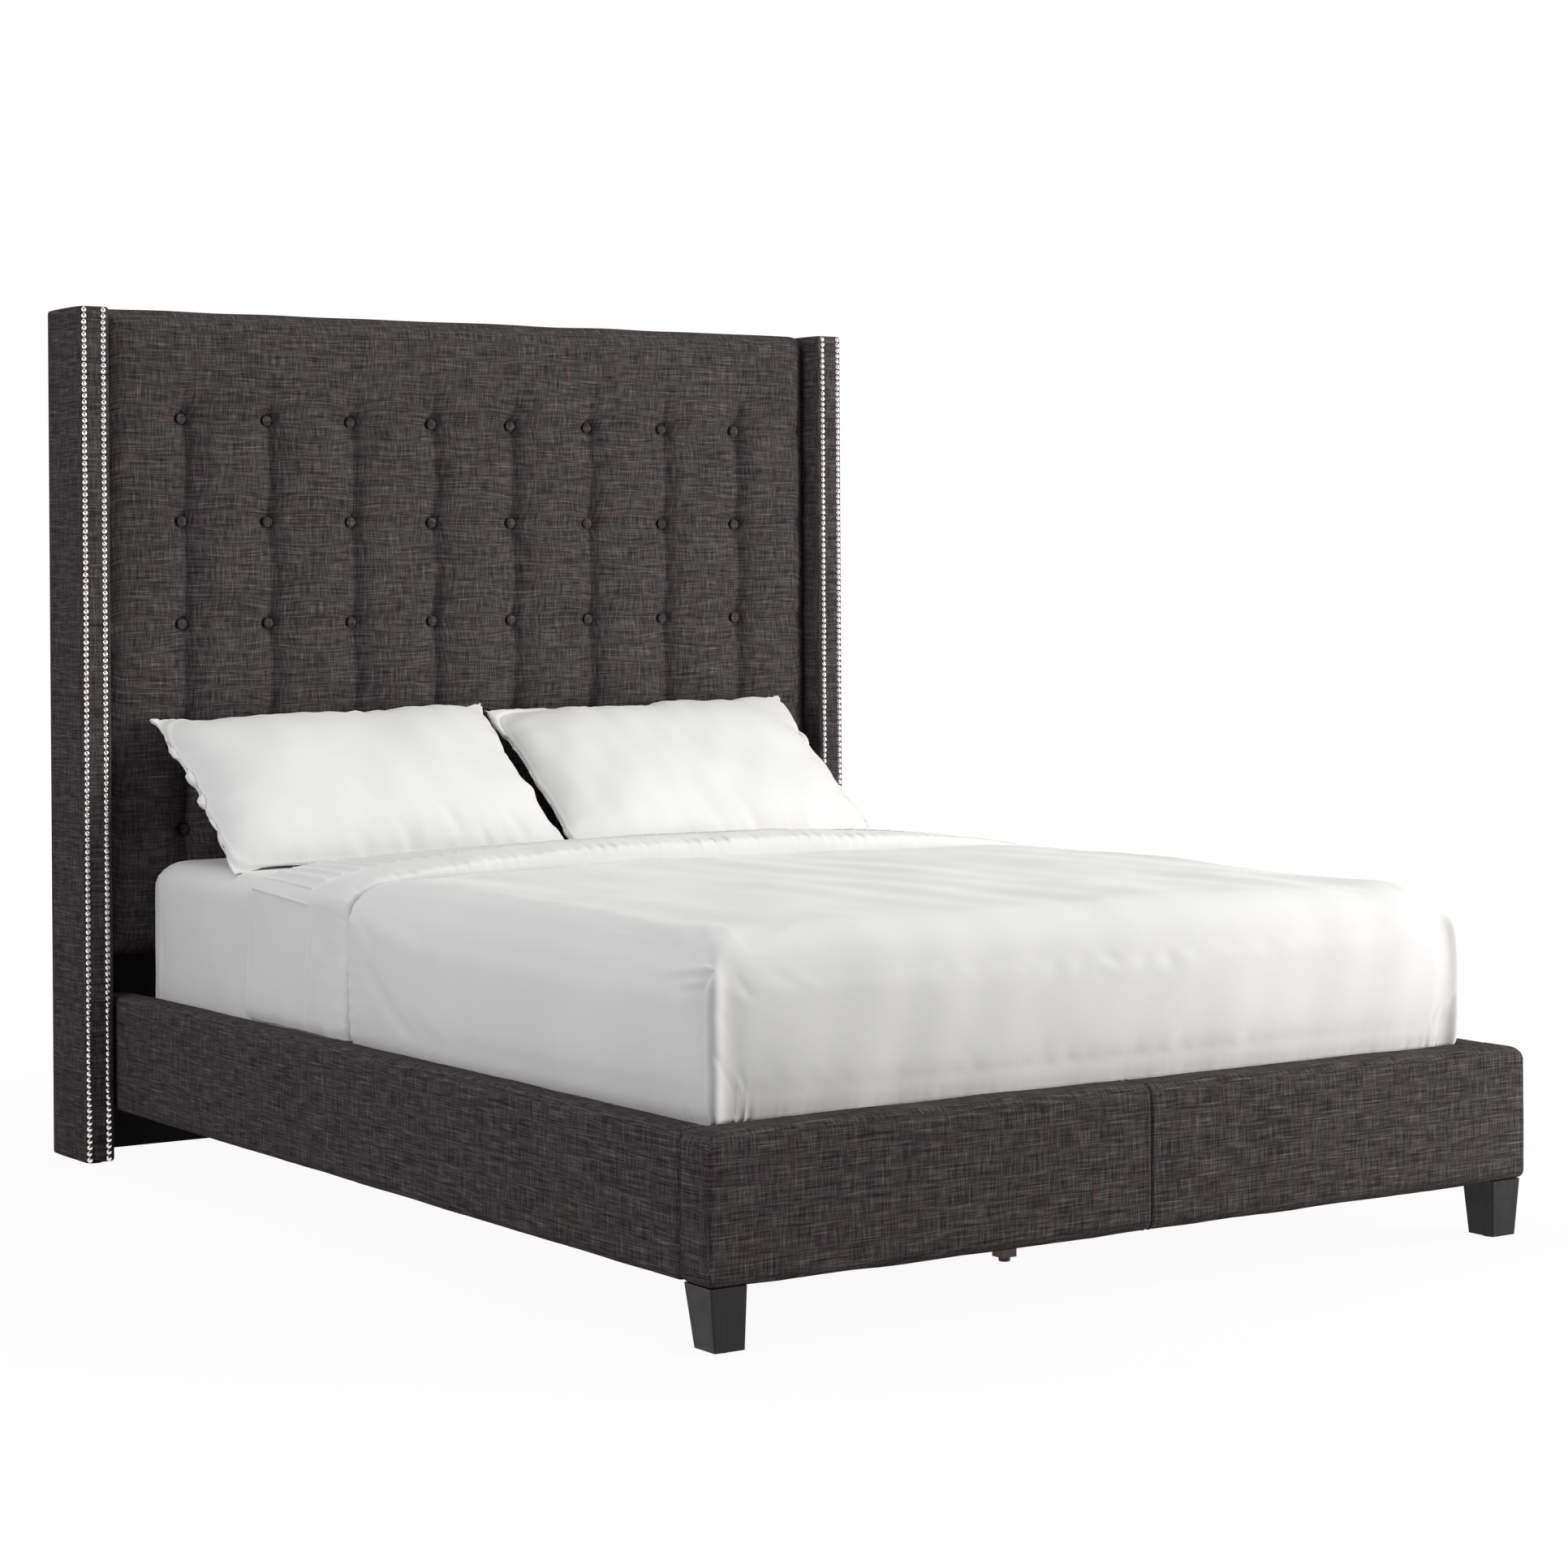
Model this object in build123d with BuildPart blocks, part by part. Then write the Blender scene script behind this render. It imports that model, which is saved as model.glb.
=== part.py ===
from build123d import *
from math import cos, radians, sin
import os

# A queen wingback bed: a button-tufted headboard between two studded wings, low padded rails and
# footboard on two black legs, a slatted base on a centre beam, and a made-up mattress.
# Millimetres. X runs across the bed, Y from foot to head, Z up. The origin is on the floor under
# the middle of the bed's outline.

# Mattress that the bed is made for, and the room round it
mattress_width = 1524
mattress_length = 2032
mattress_height = 303
mattress_corner_radius = 76
mattress_top_round = 58
mattress_base_round = 26
mattress_side_gap = 11
mattress_foot_gap = 29
mattress_head_gap = 48
mattress_sink = 41

# Heights above the floor
leg_height = 100
rail_height = 226
footboard_height = 229
wing_top_height = 1682
wing_floor_gap = 4
pad_bottom_height = 401
pad_top_rise = 4

# Padded rails and footboard
rail_thickness = 61
rail_padding = 8
rail_end_gap = 1.5
footboard_thickness = 83
footboard_padding = 10
edge_round = 13
corner_round = 5

# Wings
wing_thickness = 62
wing_depth = 166
wing_padding = 8
wing_edge_round = 6
wing_side_gap = 8

# Headboard, from its pad back to its dust cover
pad_crown = 38
pad_edge_depth = 28
panel_thickness = 12
headboard_frame_depth = 42
back_cover_thickness = 2
back_cover_recess = 6
lower_panel_thickness = 18
lower_panel_floor_gap = 16
post_width = 110
cross_rail_width = 90
top_wrap_thickness = 8
fit_clearance = 0.5

# Tufting
button_columns = 8
button_rows = 5
button_pitch_x = 189
button_pitch_z = 206
top_row_height = 1469
button_radius = 12
button_rise = 7
button_sink = 4
crease_depth_share = 0.9
flat_crease_share = 0.06

# Nails along both edges of each wing's front face
nail_radius = 5.6
nail_rise = 3.6
nail_pitch = 12.1
nail_outer_inset = 9
nail_inner_inset = 13
nail_end_inset = 7

# Corner legs
leg_top_x = 65
leg_top_y = 75
leg_bottom_x = 54
leg_bottom_y = 58
leg_inset = 6
leg_bottom_inset_x = 9
leg_bottom_inset_y = 10
leg_corner_radius = 3
leg_glide_radius = 16
leg_glide_height = 4
leg_bolt_radius = 4
leg_bolt_reach = 50
bolt_clearance = 0.3

# Slatted base
slat_count = 14
slat_width = 68
slat_thickness = 18
slat_end_gap = 3
slat_run_gap = 30
ledger_width = 28
ledger_height = 30
strap_width = 25
strap_thickness = 1.5
strap_offset = 480
beam_width = 30
beam_height = 70
centre_leg_x = 30
centre_leg_y = 28
centre_leg_count = 3
centre_leg_first = 345
centre_leg_top_gap = 12
glide_radius = 10
glide_height = 8
glide_stem_radius = 4
glide_travel = 12
glide_thread_hold = 18
glide_running_gap = 0.05
carriage_bolt_radius = 3
carriage_head_radius = 7
carriage_head_height = 3.5
carriage_nut_height = 5
carriage_bolt_edge = 16

# Steel brackets and their bolts
bracket_arm = 62
bracket_height = 96
bracket_thickness = 3
bracket_drop = 20
bracket_bolt_radius = 4
bracket_bolt_length = 36
bracket_bolt_head_radius = 7
bracket_bolt_head_height = 3.6
bracket_hole_from_corner = 38
bracket_hole_edge = 22
hanger_thickness = 2
hanger_flange = 24
hanger_depth = 40
hanger_screw_edge = 14
screw_radius = 2.2
screw_head_radius = 4.4
screw_head_height = 2.4
screw_length = 26
ledger_screw_count = 7
ledger_screw_end = 110
ledger_screw_bore = 10
wing_bolt_radius = 4
wing_bolt_head_radius = 7
wing_bolt_head_height = 5
wing_bolt_bore_radius = 10
wing_bolt_grip = 40
wing_bolt_bite = 32
wing_bolt_low_height = 140
wing_bolt_middle_height = 760
wing_bolt_top_inset = 182

# Bed linen. Layers on different bodies are soft_gap apart, and the layers of one body touch.
# The sheet is turned down over the duvet's head end, where it swells to turndown_rise.
sheet_thickness = 1.2
sheet_hem = 90
soft_gap = 0.4
linen_hem_gap = 1
turndown_head_inset = 451
band_length = 288
roll_length = 137
turndown_rise = 30
turndown_side_thickness = 17
duvet_side_thickness = 14
duvet_foot_thickness = 12
duvet_top_thickness = 14
duvet_crown = 7
duvet_side_shoulder = 70
duvet_foot_shoulder = 84
duvet_corner_radius = 62
pillow_width = 743
pillow_height = 500
pillow_upper_belly = 92
pillow_lower_belly = 42
pillow_seam_belly = 5
pillow_draw_in = 13
pillow_spread = 380
pillow_back_gap = 8
pillow_lean = 33.5

cut_overrun = 5
os.makedirs("parts", exist_ok=True)

# Places that follow from the sizes
headboard_depth = (
    pad_crown + pad_edge_depth + panel_thickness
    + headboard_frame_depth + back_cover_thickness + back_cover_recess
)
overall_length = (
    footboard_thickness + mattress_foot_gap + mattress_length + mattress_head_gap + headboard_depth
)
y_foot = -overall_length / 2
y_head = overall_length / 2
y_footboard_back = y_foot + footboard_thickness
y_mattress_foot = y_footboard_back + mattress_foot_gap
y_mattress_head = y_mattress_foot + mattress_length
y_mattress = (y_mattress_foot + y_mattress_head) / 2
y_pad_crown = y_mattress_head + mattress_head_gap
y_pad_edge = y_pad_crown + pad_crown
y_panel = y_pad_edge + pad_edge_depth
y_headboard_frame = y_panel + panel_thickness
y_back_cover = y_headboard_frame + headboard_frame_depth
y_lower_panel = y_panel - lower_panel_thickness
y_wing_front = y_head - wing_depth
x_rail_inner = mattress_width / 2 + mattress_side_gap
x_rail_outer = x_rail_inner + rail_thickness
x_wing_inner = x_rail_outer + wing_side_gap
x_wing_outer = x_wing_inner + wing_thickness
glide_stem_length = glide_travel + glide_thread_hold
headboard_half = x_wing_inner - fit_clearance
rail_top = leg_height + rail_height
slat_top = rail_top - mattress_sink
slat_bottom = slat_top - slat_thickness
frame_top = wing_top_height - top_wrap_thickness + pad_top_rise
pad_top = wing_top_height + pad_top_rise
y_rail_foot = y_footboard_back + rail_end_gap
rail_length = y_lower_panel - y_rail_foot
y_rail = (y_lower_panel + y_rail_foot) / 2
y_footboard = y_foot + footboard_thickness / 2
core_bottom = leg_height + rail_padding
sides = ((-1, "left"), (1, "right"))

# Button places on the pad
button_xs = [(i - (button_columns - 1) / 2) * button_pitch_x for i in range(button_columns)]
button_zs = [top_row_height - row * button_pitch_z for row in range(button_rows)]
bottom_row_height = button_zs[-1]
crease_depth = crease_depth_share * pad_crown
y_button = y_pad_crown + crease_depth

# Corner brackets: (x side, y of the face that the bracket's arm lies on, direction into the bed)
bracket_top = slat_bottom - ledger_height - bracket_drop
bracket_bottom = bracket_top - bracket_height
bracket_corners = [
    (side, y_face, inward)
    for side, _ in sides
    for y_face, inward in ((y_footboard_back, 1), (y_lower_panel, -1))
]
bracket_bolt_heights = (bracket_bottom + bracket_hole_edge, bracket_top - bracket_hole_edge)
hanger_screw_x = beam_width / 2 + hanger_thickness + hanger_flange / 2
hanger_top = slat_bottom - hanger_thickness
hanger_bottom = slat_bottom - beam_height - hanger_thickness
hanger_screw_zs = (hanger_bottom + hanger_screw_edge, hanger_top - hanger_screw_edge)
ledger_z = slat_bottom - ledger_height / 2
ledger_screw_ys = [
    y_rail + (i / (ledger_screw_count - 1) - 1 / 2) * (rail_length - 2 * ledger_screw_end)
    for i in range(ledger_screw_count)
]


# A bolt or screw along one axis, with its head's underside at the start point
def headed_bolt(radius, length, head_radius, head_height, direction):
    with BuildPart(Plane(origin=(0, 0, 0), z_dir=direction)) as bolt:
        Cylinder(radius, length, align=(Align.CENTER, Align.CENTER, Align.MIN))
        Cylinder(head_radius, head_height, align=(Align.CENTER, Align.CENTER, Align.MAX))
        fillet(bolt.edges().group_by(Axis((0, 0, 0), direction))[0], head_height / 3)
    return bolt.part


# Copies of one piece at a list of places, as separate solids of one node
def copies(piece, places):
    return Compound(children=[piece.located(Location(place)) for place in places])


# Headboard posts, with counterbored holes for the bolts that hold the wings
y_frame_middle = y_headboard_frame + headboard_frame_depth / 2
wing_bolt_seat = x_wing_inner - fit_clearance - wing_bolt_grip
wing_bolt_heights = (
    wing_bolt_low_height, wing_bolt_middle_height, wing_top_height - wing_bolt_top_inset,
)
with BuildPart() as headboard_posts:
    for side, _ in sides:
        with Locations((side * (headboard_half - post_width / 2), y_frame_middle, lower_panel_floor_gap)):
            Box(
                post_width, headboard_frame_depth, frame_top - lower_panel_floor_gap,
                align=(Align.CENTER, Align.CENTER, Align.MIN),
            )
        for height in wing_bolt_heights:
            with Locations(Location((side * wing_bolt_seat, y_frame_middle, height), (0, side * 90, 0))):
                Cylinder(
                    wing_bolt_radius + bolt_clearance, wing_bolt_grip + cut_overrun,
                    align=(Align.CENTER, Align.CENTER, Align.MIN), mode=Mode.SUBTRACT,
                )
                Cylinder(
                    wing_bolt_bore_radius, post_width,
                    align=(Align.CENTER, Align.CENTER, Align.MAX), mode=Mode.SUBTRACT,
                )
    bracket_bolt_x = x_rail_inner - bracket_hole_from_corner
    for side, _ in sides:
        for height in bracket_bolt_heights:
            with Locations(Location((side * bracket_bolt_x, y_headboard_frame, height), (-90, 0, 0))):
                Cylinder(
                    bracket_bolt_radius + bolt_clearance, bracket_bolt_length,
                    align=(Align.CENTER, Align.CENTER, Align.MIN), mode=Mode.SUBTRACT,
                )
headboard_posts.part.label = "headboard_posts"
export_step(headboard_posts.part, "parts/headboard_posts.step")

# Cross rails between the posts: bottom, behind the pad's lower edge, middle and top
cross_rail_length = 2 * (headboard_half - post_width)
cross_rail_heights = (
    lower_panel_floor_gap + cross_rail_width / 2,
    pad_bottom_height,
    (pad_bottom_height + frame_top) / 2,
    frame_top - cross_rail_width / 2,
)
with BuildPart() as headboard_cross_rails:
    with Locations(*[(0, y_frame_middle, height) for height in cross_rail_heights]):
        Box(cross_rail_length, headboard_frame_depth, cross_rail_width)
headboard_cross_rails.part.label = "headboard_cross_rails"
export_step(headboard_cross_rails.part, "parts/headboard_cross_rails.step")

# Plywood panel that carries the pad, drilled for the bracket bolts
with BuildPart() as headboard_panel:
    with Locations((0, y_panel + panel_thickness / 2, lower_panel_floor_gap)):
        Box(
            2 * headboard_half, panel_thickness, frame_top - lower_panel_floor_gap,
            align=(Align.CENTER, Align.CENTER, Align.MIN),
        )
    for side, _ in sides:
        for height in bracket_bolt_heights:
            with Locations(Location((side * bracket_bolt_x, y_panel, height), (-90, 0, 0))):
                Cylinder(
                    bracket_bolt_radius + bolt_clearance, 2 * panel_thickness + cut_overrun,
                    mode=Mode.SUBTRACT,
                )
        for height in hanger_screw_zs:
            with Locations(Location((side * hanger_screw_x, y_panel, height), (-90, 0, 0))):
                Cylinder(screw_radius + bolt_clearance, 2 * panel_thickness + cut_overrun, mode=Mode.SUBTRACT)
headboard_panel.part.label = "headboard_panel"
export_step(headboard_panel.part, "parts/headboard_panel.step")

# Black board below the pad
with BuildPart() as headboard_lower_panel:
    with Locations((0, y_lower_panel + lower_panel_thickness / 2, lower_panel_floor_gap)):
        Box(
            2 * headboard_half, lower_panel_thickness,
            pad_bottom_height - fit_clearance - lower_panel_floor_gap,
            align=(Align.CENTER, Align.CENTER, Align.MIN),
        )
    for side, _ in sides:
        for height in bracket_bolt_heights:
            with Locations(Location((side * bracket_bolt_x, y_lower_panel, height), (-90, 0, 0))):
                Cylinder(
                    bracket_bolt_radius + bolt_clearance, 2 * lower_panel_thickness + cut_overrun,
                    mode=Mode.SUBTRACT,
                )
        for height in hanger_screw_zs:
            with Locations(Location((side * hanger_screw_x, y_lower_panel, height), (-90, 0, 0))):
                Cylinder(
                    screw_radius + bolt_clearance, 2 * lower_panel_thickness + cut_overrun,
                    mode=Mode.SUBTRACT,
                )
headboard_lower_panel.part.label = "headboard_lower_panel"
export_step(headboard_lower_panel.part, "parts/headboard_lower_panel.step")

# Dust cover stretched over the back of the frame
with BuildPart() as headboard_back_cover:
    with Locations((0, y_back_cover + back_cover_thickness / 2, lower_panel_floor_gap)):
        Box(
            2 * headboard_half, back_cover_thickness, frame_top - lower_panel_floor_gap,
            align=(Align.CENTER, Align.CENTER, Align.MIN),
        )
headboard_back_cover.part.label = "headboard_back_cover"
export_step(headboard_back_cover.part, "parts/headboard_back_cover.step")

# Tufted pad: horizontal sections of arcs that dip to the button columns. Each station has a height,
# then the shares of the edge's depth, the crown and the columns' crease that it reaches.
pad_fade = button_pitch_z / 2
pad_round = pad_edge_depth + pad_crown / 2
row_crown_share = 0.8
between_crease_share = 0.5
pad_section_shares = [
    (pad_bottom_height, 0.42, 0.2, flat_crease_share),
    (pad_bottom_height + pad_round / 4, 0.8, 0.6, flat_crease_share),
    (pad_bottom_height + pad_round, 1, 0.92, flat_crease_share),
    (bottom_row_height - pad_fade, 1, 1, flat_crease_share),
    (bottom_row_height - pad_fade / 2, 1, 0.96, 2 * between_crease_share / 3),
]
for row in reversed(range(button_rows)):
    pad_section_shares.append((button_zs[row], 1, row_crown_share, 1))
    if row:
        pad_section_shares.append((button_zs[row] + button_pitch_z / 2, 1, 1, between_crease_share))
pad_section_shares += [
    (top_row_height + pad_fade / 2, 1, 0.96, 2 * between_crease_share / 3),
    (top_row_height + pad_fade, 1, 1, flat_crease_share),
    (pad_top - pad_round, 1, 0.92, flat_crease_share),
    (pad_top - pad_round / 4, 0.8, 0.6, flat_crease_share),
    (pad_top, 0.42, 0.2, flat_crease_share),
]
pad_columns = [-headboard_half, *button_xs, headboard_half]
with BuildPart() as headboard_pad:
    for height, edge_share, crown_share, crease_share in pad_section_shares:
        y_edge = y_panel - edge_share * pad_edge_depth
        y_crown = y_edge - crown_share * pad_crown
        y_crease = y_crown + crease_share * (crease_depth - (1 - crown_share) * pad_crown)
        ys = [y_edge] + [y_crease] * button_columns + [y_edge]
        with BuildSketch(Plane.XY.offset(height)):
            with BuildLine():
                for i in range(len(pad_columns) - 1):
                    middle = (pad_columns[i] + pad_columns[i + 1]) / 2
                    ThreePointArc((pad_columns[i], ys[i]), (middle, y_crown), (pad_columns[i + 1], ys[i + 1]))
                Polyline(
                    (headboard_half, y_edge), (headboard_half, y_panel),
                    (-headboard_half, y_panel), (-headboard_half, y_edge),
                )
            make_face()
    loft()
    with Locations((0, y_panel, pad_top)):
        Box(
            2 * headboard_half, y_back_cover + back_cover_thickness - y_panel, top_wrap_thickness,
            align=(Align.CENTER, Align.MIN, Align.MAX),
        )
    with Locations(*[Location((x, y_button, z), (90, 0, 0)) for x in button_xs for z in button_zs]):
        Cylinder(
            button_radius + bolt_clearance, 2 * button_rise,
            align=(Align.CENTER, Align.CENTER, Align.MIN), mode=Mode.SUBTRACT,
        )
headboard_pad.part.label = "headboard_pad"
export_step(headboard_pad.part, "parts/headboard_pad.step")

# Covered buttons, pulled down into the pad
with BuildPart(Plane.XZ) as button:
    Cylinder(button_radius, button_rise, align=(Align.CENTER, Align.CENTER, Align.MIN))
    fillet(button.edges().group_by(Axis.Y)[0], button_sink)
headboard_buttons = copies(button.part, [(x, y_button, z) for x in button_xs for z in button_zs])
headboard_buttons.label = "headboard_buttons"
export_step(headboard_buttons, "parts/headboard_buttons.step")

# Wings: a timber core inside a padded cover, with two rows of domed nails on the front face
wing_height = wing_top_height - wing_floor_gap
x_wing = (x_wing_inner + x_wing_outer) / 2
y_wing = y_head - wing_depth / 2
nail_zone = wing_height - 2 * nail_end_inset
nail_count = round(nail_zone / nail_pitch) + 1
nail_zs = [wing_floor_gap + nail_end_inset + i * nail_zone / (nail_count - 1) for i in range(nail_count)]
nail_ball_radius = (nail_radius**2 + nail_rise**2) / (2 * nail_rise)
with BuildPart(Plane.XZ) as nail:
    with Locations((0, 0, nail_rise - nail_ball_radius)):
        Sphere(nail_ball_radius)
    split(bisect_by=Plane.XZ, keep=Keep.TOP)
for side, side_name in sides:
    with BuildPart() as wing_core:
        with Locations((side * x_wing, y_wing, wing_floor_gap + wing_padding)):
            Box(
                wing_thickness - 2 * wing_padding, wing_depth - 2 * wing_padding,
                wing_height - 2 * wing_padding, align=(Align.CENTER, Align.CENTER, Align.MIN),
            )
        for height in wing_bolt_heights:
            with Locations(Location((side * x_wing_inner, y_frame_middle, height), (0, side * 90, 0))):
                Cylinder(
                    wing_bolt_radius + bolt_clearance, wing_bolt_bite + cut_overrun,
                    align=(Align.CENTER, Align.CENTER, Align.MIN), mode=Mode.SUBTRACT,
                )
    wing_core.part.label = f"wing_core_{side_name}"
    export_step(wing_core.part, f"parts/wing_core_{side_name}.step")

    with BuildPart() as wing_cover:
        with Locations((side * x_wing, y_wing, wing_floor_gap)):
            Box(wing_thickness, wing_depth, wing_height, align=(Align.CENTER, Align.CENTER, Align.MIN))
        fillet(wing_cover.edges().filter_by(Axis.Z), wing_edge_round)
        fillet(wing_cover.faces().sort_by(Axis.Z)[-1].edges(), wing_edge_round)
        with Locations((side * x_wing, y_wing, wing_floor_gap + wing_padding)):
            Box(
                wing_thickness - 2 * wing_padding, wing_depth - 2 * wing_padding,
                wing_height - 2 * wing_padding, align=(Align.CENTER, Align.CENTER, Align.MIN),
                mode=Mode.SUBTRACT,
            )
        for height in wing_bolt_heights:
            with Locations(Location((side * x_wing_inner, y_frame_middle, height), (0, side * 90, 0))):
                Cylinder(wing_bolt_radius + bolt_clearance, 2 * wing_padding + cut_overrun, mode=Mode.SUBTRACT)
    wing_cover.part.label = f"wing_cover_{side_name}"
    export_step(wing_cover.part, f"parts/wing_cover_{side_name}.step")

    nail_xs = (side * (x_wing_outer - nail_outer_inset), side * (x_wing_inner + nail_inner_inset))
    wing_nails = copies(nail.part, [(x, y_wing_front, z) for x in nail_xs for z in nail_zs])
    wing_nails.label = f"wing_nails_{side_name}"
    export_step(wing_nails, f"parts/wing_nails_{side_name}.step")

# Nylon glides, two under each wing
with BuildPart() as wing_glides:
    glide_places = [
        (side * x_wing, y_wing + end * (wing_depth / 2 - 2 * leg_glide_radius), 0)
        for side, _ in sides for end in (-1, 1)
    ]
    with Locations(*glide_places):
        Cylinder(leg_glide_radius, wing_floor_gap, align=(Align.CENTER, Align.CENTER, Align.MIN))
    fillet(wing_glides.edges().group_by(Axis.Z)[0], wing_floor_gap / 3)
wing_glides.part.label = "wing_glides"
export_step(wing_glides.part, "parts/wing_glides.step")

# Bolts from the posts into the wings
wing_bolt_parts = []
for side, _ in sides:
    bolt = headed_bolt(
        wing_bolt_radius, wing_bolt_grip + fit_clearance + wing_bolt_bite,
        wing_bolt_head_radius, wing_bolt_head_height, (side, 0, 0),
    )
    for height in wing_bolt_heights:
        wing_bolt_parts.append(bolt.located(Location((side * wing_bolt_seat, y_frame_middle, height))))
wing_bolts = Compound(children=wing_bolt_parts)
wing_bolts.label = "wing_bolts"
export_step(wing_bolts, "parts/wing_bolts.step")

# Side rails: a timber core inside a padded cover, drilled for brackets and ledger screws
x_rail = (x_rail_inner + x_rail_outer) / 2
rail_bracket_ys = (y_footboard_back + bracket_hole_from_corner, y_lower_panel - bracket_hole_from_corner)
rail_screw_bite = screw_length - ledger_screw_bore
for side, side_name in sides:
    bracket_hole_places = [
        Location((side * x_rail_inner, y, z), (0, side * 90, 0))
        for y in rail_bracket_ys for z in bracket_bolt_heights
    ]
    screw_hole_places = [
        Location((side * x_rail_inner, y, ledger_z), (0, side * 90, 0)) for y in ledger_screw_ys
    ]
    with BuildPart() as rail_core:
        with Locations((side * x_rail, y_rail, core_bottom)):
            Box(
                rail_thickness - 2 * rail_padding, rail_length - 2 * rail_padding,
                rail_height - 2 * rail_padding, align=(Align.CENTER, Align.CENTER, Align.MIN),
            )
        with Locations(*bracket_hole_places):
            Cylinder(
                bracket_bolt_radius + bolt_clearance, bracket_bolt_length + bolt_clearance,
                align=(Align.CENTER, Align.CENTER, Align.MIN), mode=Mode.SUBTRACT,
            )
        with Locations(*screw_hole_places):
            Cylinder(
                screw_radius + bolt_clearance, screw_length,
                align=(Align.CENTER, Align.CENTER, Align.MIN), mode=Mode.SUBTRACT,
            )
    rail_core.part.label = f"rail_core_{side_name}"
    export_step(rail_core.part, f"parts/rail_core_{side_name}.step")

    with BuildPart() as rail_cover:
        with Locations((side * x_rail, y_rail, leg_height)):
            Box(rail_thickness, rail_length, rail_height, align=(Align.CENTER, Align.CENTER, Align.MIN))
        fillet(rail_cover.edges().filter_by(Axis.Y).group_by(Axis.Z)[-1], edge_round)
        fillet(rail_cover.edges().filter_by(Axis.Y).group_by(Axis.Z)[0], corner_round)
        with Locations((side * x_rail, y_rail, core_bottom)):
            Box(
                rail_thickness - 2 * rail_padding, rail_length - 2 * rail_padding,
                rail_height - 2 * rail_padding, align=(Align.CENTER, Align.CENTER, Align.MIN),
                mode=Mode.SUBTRACT,
            )
        with Locations(*bracket_hole_places):
            Cylinder(bracket_bolt_radius + bolt_clearance, 2 * rail_padding + cut_overrun, mode=Mode.SUBTRACT)
        with Locations(*screw_hole_places):
            Cylinder(screw_radius + bolt_clearance, 2 * rail_padding + cut_overrun, mode=Mode.SUBTRACT)
    rail_cover.part.label = f"rail_cover_{side_name}"
    export_step(rail_cover.part, f"parts/rail_cover_{side_name}.step")

# Footboard: a timber core inside a padded cover, with holes for the brackets and the leg bolts
leg_top_centre = x_rail_outer - leg_inset - leg_top_x / 2
leg_top_y_centre = y_foot + leg_inset + leg_top_y / 2
footboard_core_bottom = leg_height + footboard_padding
foot_bolt_places = [
    Location((side * bracket_bolt_x, y_footboard_back, z), (90, 0, 0))
    for side, _ in sides for z in bracket_bolt_heights
]
foot_hanger_places = [
    Location((side * hanger_screw_x, y_footboard_back, z), (90, 0, 0))
    for side, _ in sides for z in hanger_screw_zs
]
with BuildPart() as footboard_core:
    with Locations((0, y_footboard, footboard_core_bottom)):
        Box(
            2 * (x_rail_outer - footboard_padding), footboard_thickness - 2 * footboard_padding,
            footboard_height - 2 * footboard_padding, align=(Align.CENTER, Align.CENTER, Align.MIN),
        )
    with Locations(*foot_bolt_places):
        Cylinder(
            bracket_bolt_radius + bolt_clearance, bracket_bolt_length + bolt_clearance,
            align=(Align.CENTER, Align.CENTER, Align.MIN), mode=Mode.SUBTRACT,
        )
    with Locations(*foot_hanger_places):
        Cylinder(
            screw_radius + bolt_clearance, screw_length,
            align=(Align.CENTER, Align.CENTER, Align.MIN), mode=Mode.SUBTRACT,
        )
    with Locations(*[(side * leg_top_centre, leg_top_y_centre, leg_height) for side, _ in sides]):
        Cylinder(
            leg_bolt_radius + bolt_clearance, leg_bolt_reach + bolt_clearance,
            align=(Align.CENTER, Align.CENTER, Align.MIN), mode=Mode.SUBTRACT,
        )
footboard_core.part.label = "footboard_core"
export_step(footboard_core.part, "parts/footboard_core.step")

with BuildPart() as footboard_cover:
    with Locations((0, y_footboard, leg_height)):
        Box(
            2 * x_rail_outer, footboard_thickness, footboard_height,
            align=(Align.CENTER, Align.CENTER, Align.MIN),
        )
    fillet(footboard_cover.edges().filter_by(Axis.Z), corner_round)
    fillet(footboard_cover.faces().sort_by(Axis.Z)[-1].edges(), edge_round)
    fillet(footboard_cover.faces().sort_by(Axis.Z)[0].edges(), corner_round)
    with Locations((0, y_footboard, footboard_core_bottom)):
        Box(
            2 * (x_rail_outer - footboard_padding), footboard_thickness - 2 * footboard_padding,
            footboard_height - 2 * footboard_padding, align=(Align.CENTER, Align.CENTER, Align.MIN),
            mode=Mode.SUBTRACT,
        )
    with Locations(*foot_bolt_places):
        Cylinder(bracket_bolt_radius + bolt_clearance, 2 * footboard_padding + cut_overrun, mode=Mode.SUBTRACT)
    with Locations(*foot_hanger_places):
        Cylinder(screw_radius + bolt_clearance, 2 * footboard_padding + cut_overrun, mode=Mode.SUBTRACT)
    with Locations(*[(side * leg_top_centre, leg_top_y_centre, leg_height) for side, _ in sides]):
        Cylinder(leg_bolt_radius + bolt_clearance, 2 * footboard_padding + cut_overrun, mode=Mode.SUBTRACT)
footboard_cover.part.label = "footboard_cover"
export_step(footboard_cover.part, "parts/footboard_cover.step")

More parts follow.
